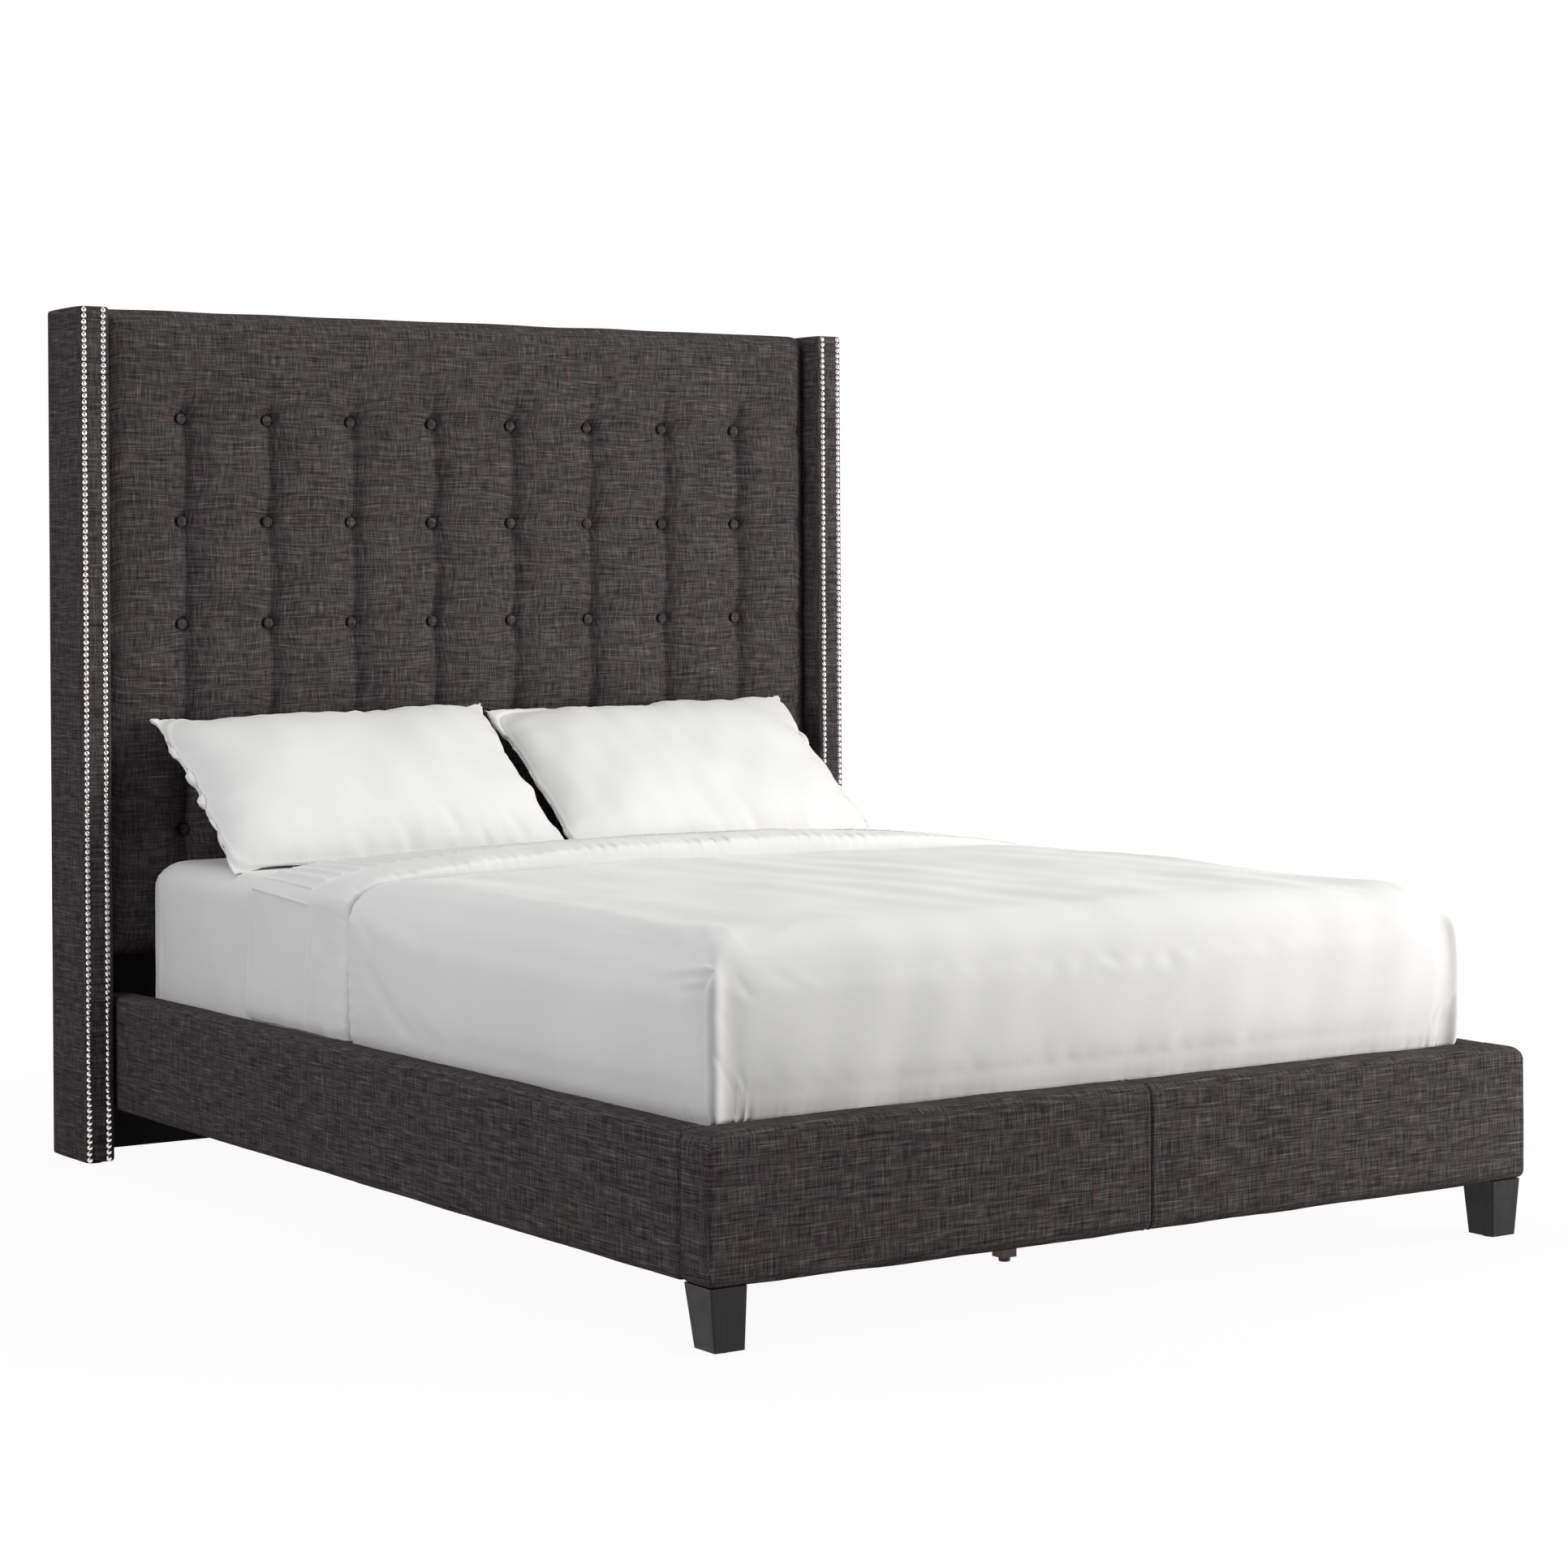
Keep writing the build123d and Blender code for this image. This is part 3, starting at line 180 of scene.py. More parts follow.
def make_active(piece):
    deselect_all()
    piece.select_set(True)
    bpy.context.view_layer.objects.active = piece


def named(piece, name):
    piece.name = piece.data.name = name
    return piece


def apply_modifier(piece, kind, **settings):
    """Adds a modifier with these settings and applies it."""
    make_active(piece)
    bpy.ops.object.modifier_add(type=kind)
    modifier = piece.modifiers[-1]
    for name, value in settings.items():
        setattr(modifier, name, value)
    bpy.ops.object.modifier_apply(modifier=modifier.name)


def edit(piece, steps, mode="VERT"):
    """Runs the steps, a function, in edit mode with nothing selected at first."""
    make_active(piece)
    bpy.ops.object.mode_set(mode="EDIT")
    bpy.ops.mesh.select_mode(type=mode)
    bpy.ops.mesh.select_all(action="DESELECT")
    steps(piece)
    bpy.ops.object.mode_set(mode="OBJECT")


def select_where(piece, kind, test):
    """In edit mode, selects the vertices, edges or faces that pass the test, and nothing else."""
    bpy.ops.mesh.select_all(action="DESELECT")
    mesh = bmesh.from_edit_mesh(piece.data)
    for item in getattr(mesh, kind):
        if test(item):
            item.select_set(True)
    mesh.select_flush_mode()
    bmesh.update_edit_mesh(piece.data)


def read_rows(items, name, width, kind=np.float32):
    """One property of all the items, as rows of this width."""
    values = np.empty(width * len(items), dtype=kind)
    items.foreach_get(name, values)
    return values.reshape(-1, width)


def read_points(piece):
    return read_rows(piece.data.vertices, "co", 3).astype(float)


def write_points(piece, places):
    piece.data.vertices.foreach_set("co", places.astype(np.float32).ravel())
    piece.data.update()


def read_normals(piece):
    return read_rows(piece.data.vertex_normals, "vector", 3).astype(float)


def read_corners(piece):
    """The vertex at each corner of the faces."""
    return read_rows(piece.data.loops, "vertex_index", 1, np.int32)[:, 0]


def write_weave(piece, flat):
    """Sets the piece's weave map from the place of each face corner on the flat cloth, in metres."""
    layer = piece.data.uv_layers.active or piece.data.uv_layers.new(name=WEAVE)
    layer.name = WEAVE
    layer.data.foreach_set("uv", flat.astype(np.float32).ravel())


def read_weave(piece):
    """Each vertex's place on the flat cloth."""
    cloth = np.zeros((len(piece.data.vertices), 2))
    cloth[read_corners(piece)] = read_rows(piece.data.uv_layers.active.data, "uv", 2)
    return cloth


def lay_weave(piece):
    """Lays the weave flat on each face, along the two axes that the face faces least."""
    faces = piece.data.polygons
    facing = np.abs(read_rows(faces, "normal", 3)).argmax(axis=1)
    facing = np.repeat(facing, read_rows(faces, "loop_total", 1, np.int32)[:, 0])
    at = read_points(piece)[read_corners(piece)]
    write_weave(piece, np.column_stack((np.where(facing == 0, at[:, 1], at[:, 0]),
                                        np.where(facing == 2, at[:, 1], at[:, 2]))))


def cloth_grid(name, across, along, shape):
    """A grid of faces whose points go to shape(u, v). It gives their places and their places on the flat cloth."""
    deselect_all()
    bpy.ops.mesh.primitive_grid_add(x_subdivisions=across, y_subdivisions=along, size=1)
    piece = named(bpy.context.object, name)
    shares = read_points(piece)[:, :2] + 0.5
    places, cloth = shape(shares[:, 0], shares[:, 1])
    write_points(piece, places)
    write_weave(piece, cloth[read_corners(piece)])
    return piece


def close_up(piece):
    """Merges doubles, fills open ends and turns the faces outwards."""
    def steps(_):
        bpy.ops.mesh.select_all(action="SELECT")
        bpy.ops.mesh.remove_doubles(threshold=0.00002)
        bpy.ops.mesh.select_all(action="DESELECT")
        bpy.ops.mesh.select_non_manifold()
        if any(edge.select for edge in bmesh.from_edit_mesh(piece.data).edges):
            bpy.ops.mesh.fill(use_beauty=False)
    edit(piece, steps)
    face_out(piece)


def face_out(piece):
    def steps(_):
        bpy.ops.mesh.select_all(action="SELECT")
        bpy.ops.mesh.normals_make_consistent(inside=False)
    edit(piece, steps)


def smooth(piece, angle=60):
    make_active(piece)
    bpy.ops.object.shade_smooth_by_angle(angle=radians(angle))


def join(pieces, name):
    make_active(pieces[0])
    for piece in pieces[1:]:
        piece.select_set(True)
    bpy.ops.object.join()
    return named(bpy.context.object, name)


def repeat(piece, places, name):
    """One piece with the given piece's mesh at each place, a matrix. The given piece goes."""
    base = read_points(piece)
    faces = [np.array(face.vertices[:]) for face in piece.data.polygons]
    points, all_faces = [], []
    for count, place in enumerate(places):
        matrix = np.array(place)
        points.append(base @ matrix[:3, :3].T + matrix[:3, 3])
        all_faces += [(face + count * len(base)).tolist() for face in faces]
    mesh = bpy.data.meshes.new(name)
    mesh.from_pydata(np.vstack(points).tolist(), [], all_faces)
    whole = bpy.data.objects.new(name, mesh)
    bpy.context.collection.objects.link(whole)
    bpy.data.objects.remove(piece)
    return whole


def stud(sides, radius, depth, middle=0.0):
    """A short cylinder along Y, to dome into a button or a nail."""
    deselect_all()
    bpy.ops.mesh.primitive_cylinder_add(
        vertices=sides, radius=radius, depth=depth, rotation=(pi / 2, 0, 0), location=(0, middle, 0),
        end_fill_type="NGON")
    bpy.ops.object.transform_apply(location=True, rotation=True, scale=True)
    return bpy.context.object


def tipped(draw, most):
    """A small random tilt about X and Z, as what is set by hand has."""
    return Matrix.Rotation(draw.uniform(-most, most), 4, "X") @ Matrix.Rotation(draw.uniform(-most, most), 4, "Z")


def block(name, low, high, cells, edge_round, steps=4):
    """A box cut into cells along each axis, with its edges rounded."""
    low, high = Vector(low), Vector(high)
    deselect_all()
    bpy.ops.mesh.primitive_cube_add(size=1, location=(low + high) / 2, scale=high - low)
    bpy.ops.object.transform_apply(location=True, rotation=True, scale=True)
    piece = named(bpy.context.object, name)

    def cut(piece):
        for axis, count in enumerate(cells):
            def runs_along(edge):
                way = edge.verts[1].co - edge.verts[0].co
                return abs(way[axis]) > 0.99 * way.length
            select_where(piece, "edges", runs_along)
            bpy.ops.mesh.subdivide(number_cuts=count - 1)
    edit(piece, cut, "EDGE")
    if edge_round:
        apply_modifier(
            piece, "BEVEL", width=edge_round, segments=steps, limit_method="ANGLE", angle_limit=radians(40))
    return piece


def waves(at, length, seed, count=9):
    """A smooth random surface between about -1 and 1 at the points, with waves of about this length."""
    draw = np.random.default_rng(seed)
    way = draw.normal(size=(count, 3))
    way /= np.linalg.norm(way, axis=1)[:, None]
    turns = 2 * pi / (length * draw.uniform(0.7, 1.6, count))
    return np.sin((at @ way.T) * turns + draw.uniform(0, 2 * pi, count)).sum(axis=1) / (count ** 0.5)


def ease(value, low, high):
    """0 below low, 1 above high and a smooth step between."""
    share = np.clip((value - low) / (high - low), 0, 1)
    return share * share * (3 - 2 * share)


def simulate(piece, held, pressure, cap, shrink=0.0, frames=20, stiffness=15):
    """Lets cloth settle from the piece's shape. Held is 0 to 1 at each vertex, and no point moves past the cap."""
    scene = bpy.context.scene
    start = read_points(piece)
    group = piece.vertex_groups.new(name="held")
    for index in np.flatnonzero(held > 0.01):
        group.add([int(index)], float(held[index]), "REPLACE")
    make_active(piece)
    bpy.ops.object.modifier_add(type="CLOTH")
    cloth = piece.modifiers[-1]
    settings = {
        "vertex_group_mass": group.name, "quality": 6, "mass": 0.2, "tension_stiffness": stiffness,
        "compression_stiffness": stiffness, "shear_stiffness": stiffness / 3, "bending_stiffness": 0.3,
        "use_pressure": True, "uniform_pressure_force": pressure, "shrink_min": shrink,
    }
    for name, value in settings.items():
        setattr(cloth.settings, name, value)
    cloth.settings.effector_weights.gravity = 0
    cloth.collision_settings.use_collision = False
    cloth.collision_settings.use_self_collision = False
    cloth.point_cache.frame_start, cloth.point_cache.frame_end = 1, frames
    for number in range(1, frames + 1):
        scene.frame_set(number)
    end = read_points(piece.evaluated_get(bpy.context.evaluated_depsgraph_get()))
    bpy.ops.object.modifier_remove(modifier=cloth.name)
    piece.vertex_groups.clear()
    scene.frame_set(1)
    moved = end - start
    length = np.linalg.norm(moved, axis=1)
    if not np.isfinite(length).all():
        raise RuntimeError(f"{piece.name}: the cloth did not settle")
    soft_cap = cap * np.tanh(length / cap) / np.maximum(length, 1e-9)
    write_points(piece, start + moved * soft_cap[:, None])


def hand_in(piece, finish, slot, body, *nodes):
    """Gives the piece its finish and its body, and hides the CAD nodes that it stands for."""
    piece.data.materials.clear()
    piece.data.materials.append(finish)
    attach(piece, body)
    if nodes:
        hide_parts(*nodes)


def upholster(piece, node):
    """Covers a padded piece of the frame in linen, with the weave laid flat on its faces."""
    lay_weave(piece)
    smooth(piece, 50)
    hand_in(piece, linen(), "charcoal_linen", "bed_frame", node)


# ---- Finishes ----

class Nodes:
    """A node tree being made, with short ways to add and link its nodes."""

    def __init__(self, tree):
        self.tree = tree

    def add(self, kind, out=0, settings=(), **inputs):
        """Adds a node and returns one of its outputs. Inputs are numbers or outputs of other nodes."""
        node = self.tree.nodes.new("ShaderNode" + kind)
        for name, value in dict(settings).items():
            setattr(node, name, value)
        for name, value in inputs.items():
            socket = node.inputs[int(name[1:]) if name[0] == "i" and name[1:].isdigit() else name.replace("_", " ")]
            if isinstance(value, bpy.types.NodeSocket):
                self.tree.links.new(value, socket)
            else:
                socket.default_value = value
        return node.outputs[out]

    def maths(self, operation, first, second=0.0):
        return self.add("Math", settings={"operation": operation}, i0=first, i1=second)

    def weighted(self, first, first_weight, second, second_weight):
        """The sum of two outputs, each times its weight."""
        return self.maths("ADD", self.maths("MULTIPLY", first, first_weight),
                          self.maths("MULTIPLY", second, second_weight))


class Finish(Nodes):
    """A material being made, with its shader. It isn't fresh when an earlier piece has made it."""

    def __init__(self, name, **surface):
        self.material = bpy.data.materials.get(name)
        self.fresh = self.material is None
        if self.fresh:
            self.material = bpy.data.materials.new(name)
            self.material.use_nodes = True
            self.shader = self.material.node_tree.nodes["Principled BSDF"]
            for socket, value in surface.items():
                self.shader.inputs[socket.replace("_", " ")].default_value = value
        super().__init__(self.material.node_tree)

    def link(self, output, socket):
        self.tree.links.new(output, self.shader.inputs[socket])

    def place(self, scale, source="Object"):
        if source == WEAVE:
            at = self.add("UVMap", settings={"uv_map": WEAVE})
        else:
            at = self.add("TexCoord", source)
        return self.add("Mapping", Vector=at, Scale=scale)

    def noise(self, scale, detail=2.0, roughness=0.5, source="Object", distortion=0.0):
        return self.add(
            "TexNoise", Vector=self.place(scale, source=source), Scale=1.0, Detail=detail,
            Roughness=roughness, Distortion=distortion)

    def blend(self, share, first, second, mode="MIX"):
        colours = [value if isinstance(value, bpy.types.NodeSocket) else (*value[:3], 1) for value in (first, second)]
        return self.add("Mix", 2, {"data_type": "RGBA", "blend_type": mode}, i0=share, i6=colours[0], i7=colours[1])

    def ramp(self, share, *stops):
        output = self.add("ValToRGB", Fac=share)
        marks = output.node.color_ramp.elements
        while len(marks) < len(stops):
            marks.new(0.5)
        for mark, (position, colour) in zip(marks, stops):
            mark.position = position
            mark.color = (*colour[:3], 1) if hasattr(colour, "__len__") else (colour, colour, colour, 1)
        return output

    def bump(self, height, strength, distance, normal=None):
        inputs = {"Height": height, "Strength": strength, "Distance": distance}
        if normal is not None:
            inputs["Normal"] = normal
        return self.add("Bump", **inputs)


def scaled(colour, factor):
    return tuple(min(1.0, channel * factor) for channel in colour)


def linen():
    """Slubbed plain weave: fine threads both ways, short thicker ones among them, and soft tonal bands."""
    look = bpy.context.scene.bed_finishes
    made = Finish("charcoal linen weave", Roughness=0.95, Specular_IOR_Level=0.05)
    if not made.fresh:
        return made.material
    fine = 1 / look.thread
    weft = made.noise((20, fine * 0.44, 1), 3.0, 0.6, WEAVE)
    warp = made.noise((fine * 0.44, 28, 1), 3.0, 0.6, WEAVE)
    weft_slub = made.noise((13, fine * 0.36, 1), 2.0, 0.5, WEAVE)
    warp_slub = made.noise((fine * 0.36, 18, 1), 2.0, 0.5, WEAVE)
    long_weft = made.noise((6, fine * 0.19, 1), 3.0, 0.65, WEAVE)
    long_warp = made.noise((fine * 0.15, 6, 1), 3.0, 0.6, WEAVE)
    threads = made.weighted(weft, 0.5, warp, 0.5)
    slubs = made.maths(
        "MAXIMUM", made.ramp(weft_slub, (0.56, 0.0), (0.80, 1.0)), made.ramp(warp_slub, (0.57, 0.0), (0.82, 0.85)))
    light = made.maths("ADD", threads, made.maths("MULTIPLY", slubs, 0.16))
    broad = made.maths("SUBTRACT", made.weighted(long_weft, 1.3, long_warp, 0.7), 1.0)
    light = made.maths("ADD", light, made.maths("MULTIPLY", broad, 0.21))
    dyed = made.ramp(
        light, (0.34, scaled(look.linen, 0.30)), (0.47, scaled(look.linen, 0.92)), (0.58, scaled(look.linen, 1.85)),
        (0.80, look.slub))
    reddish = made.blend(1.0, dyed, (1.16, 0.95, 0.93), "MULTIPLY")
    tint = made.ramp(made.noise((fine * 0.10, 9, 1), 2.0, 0.5, WEAVE), (0.5, 0.0), (0.68, 0.7))
    made.link(made.blend(tint, dyed, reddish), "Base Color")
    ridges = made.maths("ADD", threads, made.maths("MULTIPLY", slubs, 0.5))
    made.link(made.bump(ridges, 0.6, 0.0009), "Normal")
    return made.material


def cotton():
    """Smooth percale: a hair of warmth in its tone, a very fine weave and faint soft creases."""
    look = bpy.context.scene.bed_finishes
    made = Finish("white cotton percale", Roughness=0.85, Sheen_Weight=0.35, Sheen_Roughness=0.5,
                  Specular_IOR_Level=0.25)
    if not made.fresh:
        return made.material
    tone = made.noise((6, 6, 6), 3.0)
    made.link(made.ramp(tone, (0.3, scaled(look.cotton, 0.975)), (0.7, scaled(look.cotton, 1.02))), "Base Color")
    soft = made.bump(made.noise((26, 26, 26), 3.0, 0.55), 0.12, 0.004)
    made.link(made.bump(made.noise((1400, 1400, 1400), 1.0), 0.10, 0.0003, soft), "Normal")
    return made.material


def wood(name, light, dark, along, roughness=0.55):
    """Grain that runs along one axis, 0 to 2, with rings and pores."""
    made = Finish(name, Roughness=roughness)
    if not made.fresh:
        return made.material
    broad, pores = [18.0] * 3, [420.0] * 3
    broad[along], pores[along] = 0.9, 14.0
    rings = made.noise(tuple(broad), 5.0, 0.6, distortion=0.6)
    fibres = made.noise(tuple(pores), 2.0, 0.6)
    grain = made.weighted(rings, 0.75, fibres, 0.3)
    made.link(made.ramp(grain, (0.36, dark), (0.56, light), (0.7, scaled(light, 1.12))), "Base Color")
    made.link(made.ramp(rings, (0.3, roughness - 0.08), (0.7, roughness + 0.1)), "Roughness")
    made.link(made.bump(grain, 0.25, 0.0006), "Normal")
    return made.material


def plywood():
    made = Finish("birch plywood", Roughness=0.62)
    if made.fresh:
        plies = made.add("TexWave", settings={"bands_direction": "Y"}, Vector=made.place((1, 1, 1)), Scale=220.0,
                         Distortion=0.4)
        grain = made.noise((2, 90, 26), 4.0, 0.6)
        mixed = made.blend(0.25, made.ramp(grain, (0.35, (0.42, 0.29, 0.17)), (0.7, (0.58, 0.43, 0.27))),
                           made.ramp(plies, (0.3, (0.30, 0.19, 0.10)), (0.7, (0.6, 0.45, 0.3))))
        made.link(mixed, "Base Color")
        made.link(made.bump(grain, 0.2, 0.0005), "Normal")
    return made.material


def lacquer():
    """Black satin paint on wood: the grain shows a little, and it is rubbed in scattered patches."""
    look = bpy.context.scene.bed_finishes
    made = Finish("black satin lacquer", Roughness=0.42, Specular_IOR_Level=0.3)
    if made.fresh:
        grain = made.noise((160, 160, 9), 4.0, 0.6)
        rubbed = made.noise((38, 38, 38), 4.0, 0.6)
        paint = made.ramp(grain, (0.35, scaled(look.leg, 0.8)), (0.7, scaled(look.leg, 1.5)))
        made.link(made.blend(made.ramp(rubbed, (0.6, 0.0), (0.8, 0.35)), paint, (0.04, 0.035, 0.03)), "Base Color")
        made.link(made.ramp(rubbed, (0.35, 0.32), (0.7, 0.48)), "Roughness")
        made.link(made.bump(grain, 0.2, 0.0004), "Normal")
    return made.material


def metal(name, colour, roughness, mottle=30.0):
    made = Finish(name, Metallic=1.0, Roughness=roughness)
    if made.fresh:
        spots = made.noise((mottle, mottle, mottle), 3.0, 0.6)
        made.link(made.ramp(spots, (0.3, scaled(colour, 0.86)), (0.7, scaled(colour, 1.05))), "Base Color")
        made.link(made.ramp(spots, (0.3, max(0.05, roughness - 0.07)), (0.75, roughness + 0.1)), "Roughness")
        made.link(made.bump(made.noise((900, 900, 900), 2.0), 0.06, 0.0002), "Normal")
    return made.material


def plastic(name, colour, roughness):
    made = Finish(name, Roughness=roughness)
    if made.fresh:
        grain = made.noise((500, 500, 500), 2.0)
        made.link(made.ramp(grain, (0.35, scaled(colour, 0.85)), (0.7, scaled(colour, 1.15))), "Base Color")
        made.link(made.bump(grain, 0.15, 0.0003), "Normal")
    return made.material


def cloth(name, light, dark, thread):
    """Plain woven cloth on the piece's own axes, for the dust cover, lower board, webbing, ticking and thread."""
    made = Finish(name, Roughness=0.9, Sheen_Weight=0.15, Specular_IOR_Level=0.2)
    if made.fresh:
        fine = 1 / thread
        over = made.noise((fine, fine, fine), 1.0)
        tone = made.noise((12, 12, 12), 3.0)
        made.link(made.ramp(made.weighted(over, 0.7, tone, 0.3), (0.35, dark), (0.65, light)), "Base Color")
        made.link(made.bump(over, 0.3, thread * 0.4), "Normal")
    return made.material


# ---- Headboard ----

def tuft_depth(x, z):
    """How far the tufted face lies behind the pad's crown, and how far the cloth is drawn towards a button."""
    tufts = bpy.context.scene.bed_tufting
    last = tufts.columns - 1
    column = np.clip(np.round(x / tufts.pitch_x + last / 2), 0, last)
    off_x = x - (column - last / 2) * tufts.pitch_x
    row = np.clip(np.round((tufts.top_row - z) / tufts.pitch_z), 0, tufts.rows - 1)
    off_z = z - (tufts.top_row - row * tufts.pitch_z)
    beyond = (z > tufts.top_row) | (z < tufts.top_row - (tufts.rows - 1) * tufts.pitch_z)
    halfway = np.clip(np.abs(off_z) / (tufts.pitch_z / 2), 0, 1)
    wander = 0.0022 * np.sin(z * 11 + column * 2.1) * halfway + 0.0065 * (1 - (1 - halfway) ** 2) * ~beyond
    t = np.minimum(np.abs(off_x - wander) / (tufts.pitch_x / 2), 1)
    t = (np.sqrt(t * t + 0.0009) - 0.03) / (1.00045 - 0.03)
    pull = 1 + 0.10 * np.sin(column * 4.7 + row * 2.9)
    crease = tufts.crease_depth * np.where(beyond, (1 - halfway) ** 1.25, 1.0)
    deep = crease + (tufts.button_depth * pull - tufts.crease_depth) * (1 - halfway) ** 2.3
    upright = 0.66 * (1 - t) ** 2.3 + 0.34 * (1 - t) ** 7
    level = (0.55 * (1 - halfway) ** 2 + 0.45 * (1 - halfway) ** 12) * (1 - 0.35 * t)
    depth = deep * upright + tufts.dip_depth * level * (1 - upright)
    away = np.sqrt(off_x ** 2 + off_z ** 2)
    hollow = 1 - ease(away, tufts.seat_radius, tufts.seat_radius * 2.05)
    depth = depth * (1 - hollow) + (tufts.button_depth + 0.0025) * hollow
    drawn = 0.34 * np.exp(-(away / 0.045) ** 1.5)
    return depth, off_x * drawn, off_z * drawn


class BED_OT_headboard_pad(bpy.types.Operator):
    """Make the tufted pad: its face dips at the buttons and rolls back at its edges"""
    bl_idname = "bed.headboard_pad"
    bl_label = "Headboard pad"

    def execute(self, context):
        tufts = context.scene.bed_tufting
        low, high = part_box("headboard_pad")
        panel_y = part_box("headboard_panel")[0].y
        button_stands = 0.007
        crown_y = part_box("headboard_buttons")[0].y + button_stands - tufts.button_depth
        half = high.x
        face_back = panel_y - 0.0195
        roll_side, roll_end = 0.046, 0.044
        crowded = np.linspace(-1, 1, 31)
        crowded = np.sign(crowded) * np.abs(crowded) ** 1.3

        def spread(centres, pitch, first, last, first_count, last_count):
            """Places that crowd round each centre, with even steps out to the ends."""
            marks = [centre + crowded * pitch / 2 for centre in centres]
            inner = np.concatenate([mark[:-1] for mark in marks] + [marks[-1][-1:]])
            before = first + (inner[0] - first) * (1 - np.cos(np.linspace(0, pi / 2, first_count + 1)))[:-1]
            after = last - (last - inner[-1]) * (1 - np.cos(np.linspace(pi / 2, 0, last_count + 1)))[1:]
            return np.concatenate((before, inner, after))

        columns = [(i - (tufts.columns - 1) / 2) * tufts.pitch_x for i in range(tufts.columns)]
        rows = [tufts.top_row - i * tufts.pitch_z for i in reversed(range(tufts.rows))]
        xs = spread(columns, tufts.pitch_x, -half, half, first_count=22, last_count=22)
        zs = spread(rows, tufts.pitch_z, low.z, high.z, first_count=18, last_count=22)
        back_y, wrap_low = high.y, high.z - 0.008
        under = [(face_back + (panel_y - face_back) * share, low.z) for share in (1, 0.66, 0.33)]
        over = [(face_back + (back_y - 0.004 - face_back) * share, high.z) for share in np.linspace(0.12, 1, 8)]
        behind = [(back_y, high.z - 0.004), (back_y, wrap_low), (panel_y, wrap_low)]
        behind += [(panel_y, wrap_low + (low.z - wrap_low) * share) for share in np.linspace(0.1, 0.9, 9)]
        ring = len(under) + len(zs) + len(over) + len(behind)

        def shape(u, v):
            x = np.interp(u, np.linspace(0, 1, len(xs)), xs)
            stop = np.round(v * ring).astype(int) % ring
            front = (stop >= len(under)) & (stop < len(under) + len(zs))
            flat_y, flat_z = np.array(under + [(0, z) for z in zs] + over + behind).T
            y, z = flat_y[stop], flat_z[stop]
            depth, draw_x, draw_z = tuft_depth(x, z)
            side = np.clip(1 - (half - np.abs(x)) / roll_side, 0, 1)
            end = np.clip(1 - np.minimum(z - low.z, high.z - z) / roll_end, 0, 1)
            roll_x = (1 - np.sqrt(1 - side ** 2)) * 0.040
            roll_z = (1 - np.sqrt(1 - end ** 2)) * (face_back - crown_y)
            rolled = np.minimum(np.sqrt(roll_x ** 2 + roll_z ** 2), face_back - crown_y)
            at = np.column_stack((x, np.zeros_like(x), z))
            soft = 0.0016 * waves(at, 0.30, 3) + 0.0006 * waves(at, 0.09, 5)
            keep = (1 - side) * (1 - end)
            face = crown_y + depth * np.clip(keep * 1.6, 0, 1) + rolled - soft * keep
            y = np.where(front, face, y)
            sag = 0.0007 * waves(at * (1, 0, 0), 0.22, 11) * ease(z, high.z - 0.05, high.z) - 0.0008
            z_out = z + np.where(front | (y < panel_y), sag * (z > high.z - 0.05), 0)
            shoulder = np.maximum(0, np.abs(x) - (half - 0.03)) / 0.03
            z_out = z_out - 0.007 * shoulder ** 2.5 * (z > high.z - 0.03) * (y < panel_y + 0.001)
            run = np.cumsum(np.concatenate(([0], np.hypot(np.diff(flat_y), np.diff(flat_z)))))
            cloth_z = np.where(front, z + draw_z + rolled * np.where(z > 1, 1, -1), run[stop])
            return np.column_stack((x, y, z_out)), np.column_stack((x + draw_x, cloth_z))

        piece = cloth_grid("tufted_pad", len(xs) - 1, ring, shape)
        close_up(piece)
        smooth(piece, 70)
        hand_in(piece, linen(), "charcoal_linen", "bed_frame", "headboard_pad")
        return {"FINISHED"}


class BED_OT_headboard_buttons(bpy.types.Operator):
    """Cover the buttons: a low dome each, with its cloth drawn round the edge"""
    bl_idname = "bed.headboard_buttons"
    bl_label = "Headboard buttons"

    def execute(self, context):
        tufts = context.scene.bed_tufting
        low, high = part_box("headboard_buttons")
        radius = (high.z - low.z - (tufts.rows - 1) * tufts.pitch_z) / 2
        deep = high.y - low.y
        button = stud(sides=20, radius=radius * 0.80, depth=deep)

        def dome(piece):
            select_where(piece, "faces", lambda face: face.normal.y < -0.9)
            bpy.ops.transform.translate(value=(0, deep * 0.42, 0))
            for inset, rise in ((-radius * 0.06, deep * 0.10), (0.0, deep * 0.14), (radius * 0.14, deep * 0.09),
                                (radius * 0.3, deep * 0.06), (radius * 0.3, deep * 0.03)):
                if inset >= 0:
                    bpy.ops.mesh.inset(thickness=max(inset, 0.00005), depth=0)
                else:
                    bpy.ops.mesh.extrude_region_move()
                    grow = 1 - inset / radius
                    bpy.ops.transform.resize(value=(grow, 1, grow))
                bpy.ops.transform.translate(value=(0, -rise, 0))
        edit(button, dome, "FACE")
        draw = np.random.default_rng(8)
        y = (low.y + high.y) / 2
        places = []
        for row in range(tufts.rows):
            for column in range(tufts.columns):
                tilt = tipped(draw, most=0.07)
                x = (column - (tufts.columns - 1) / 2) * tufts.pitch_x
                places.append(Matrix.Translation((x, y, tufts.top_row - row * tufts.pitch_z)) @ tilt)
        piece = repeat(button, places, "covered_buttons")
        face_out(piece)
        upholster(piece, "headboard_buttons")
        return {"FINISHED"}


# ---- Upholstered frame ----

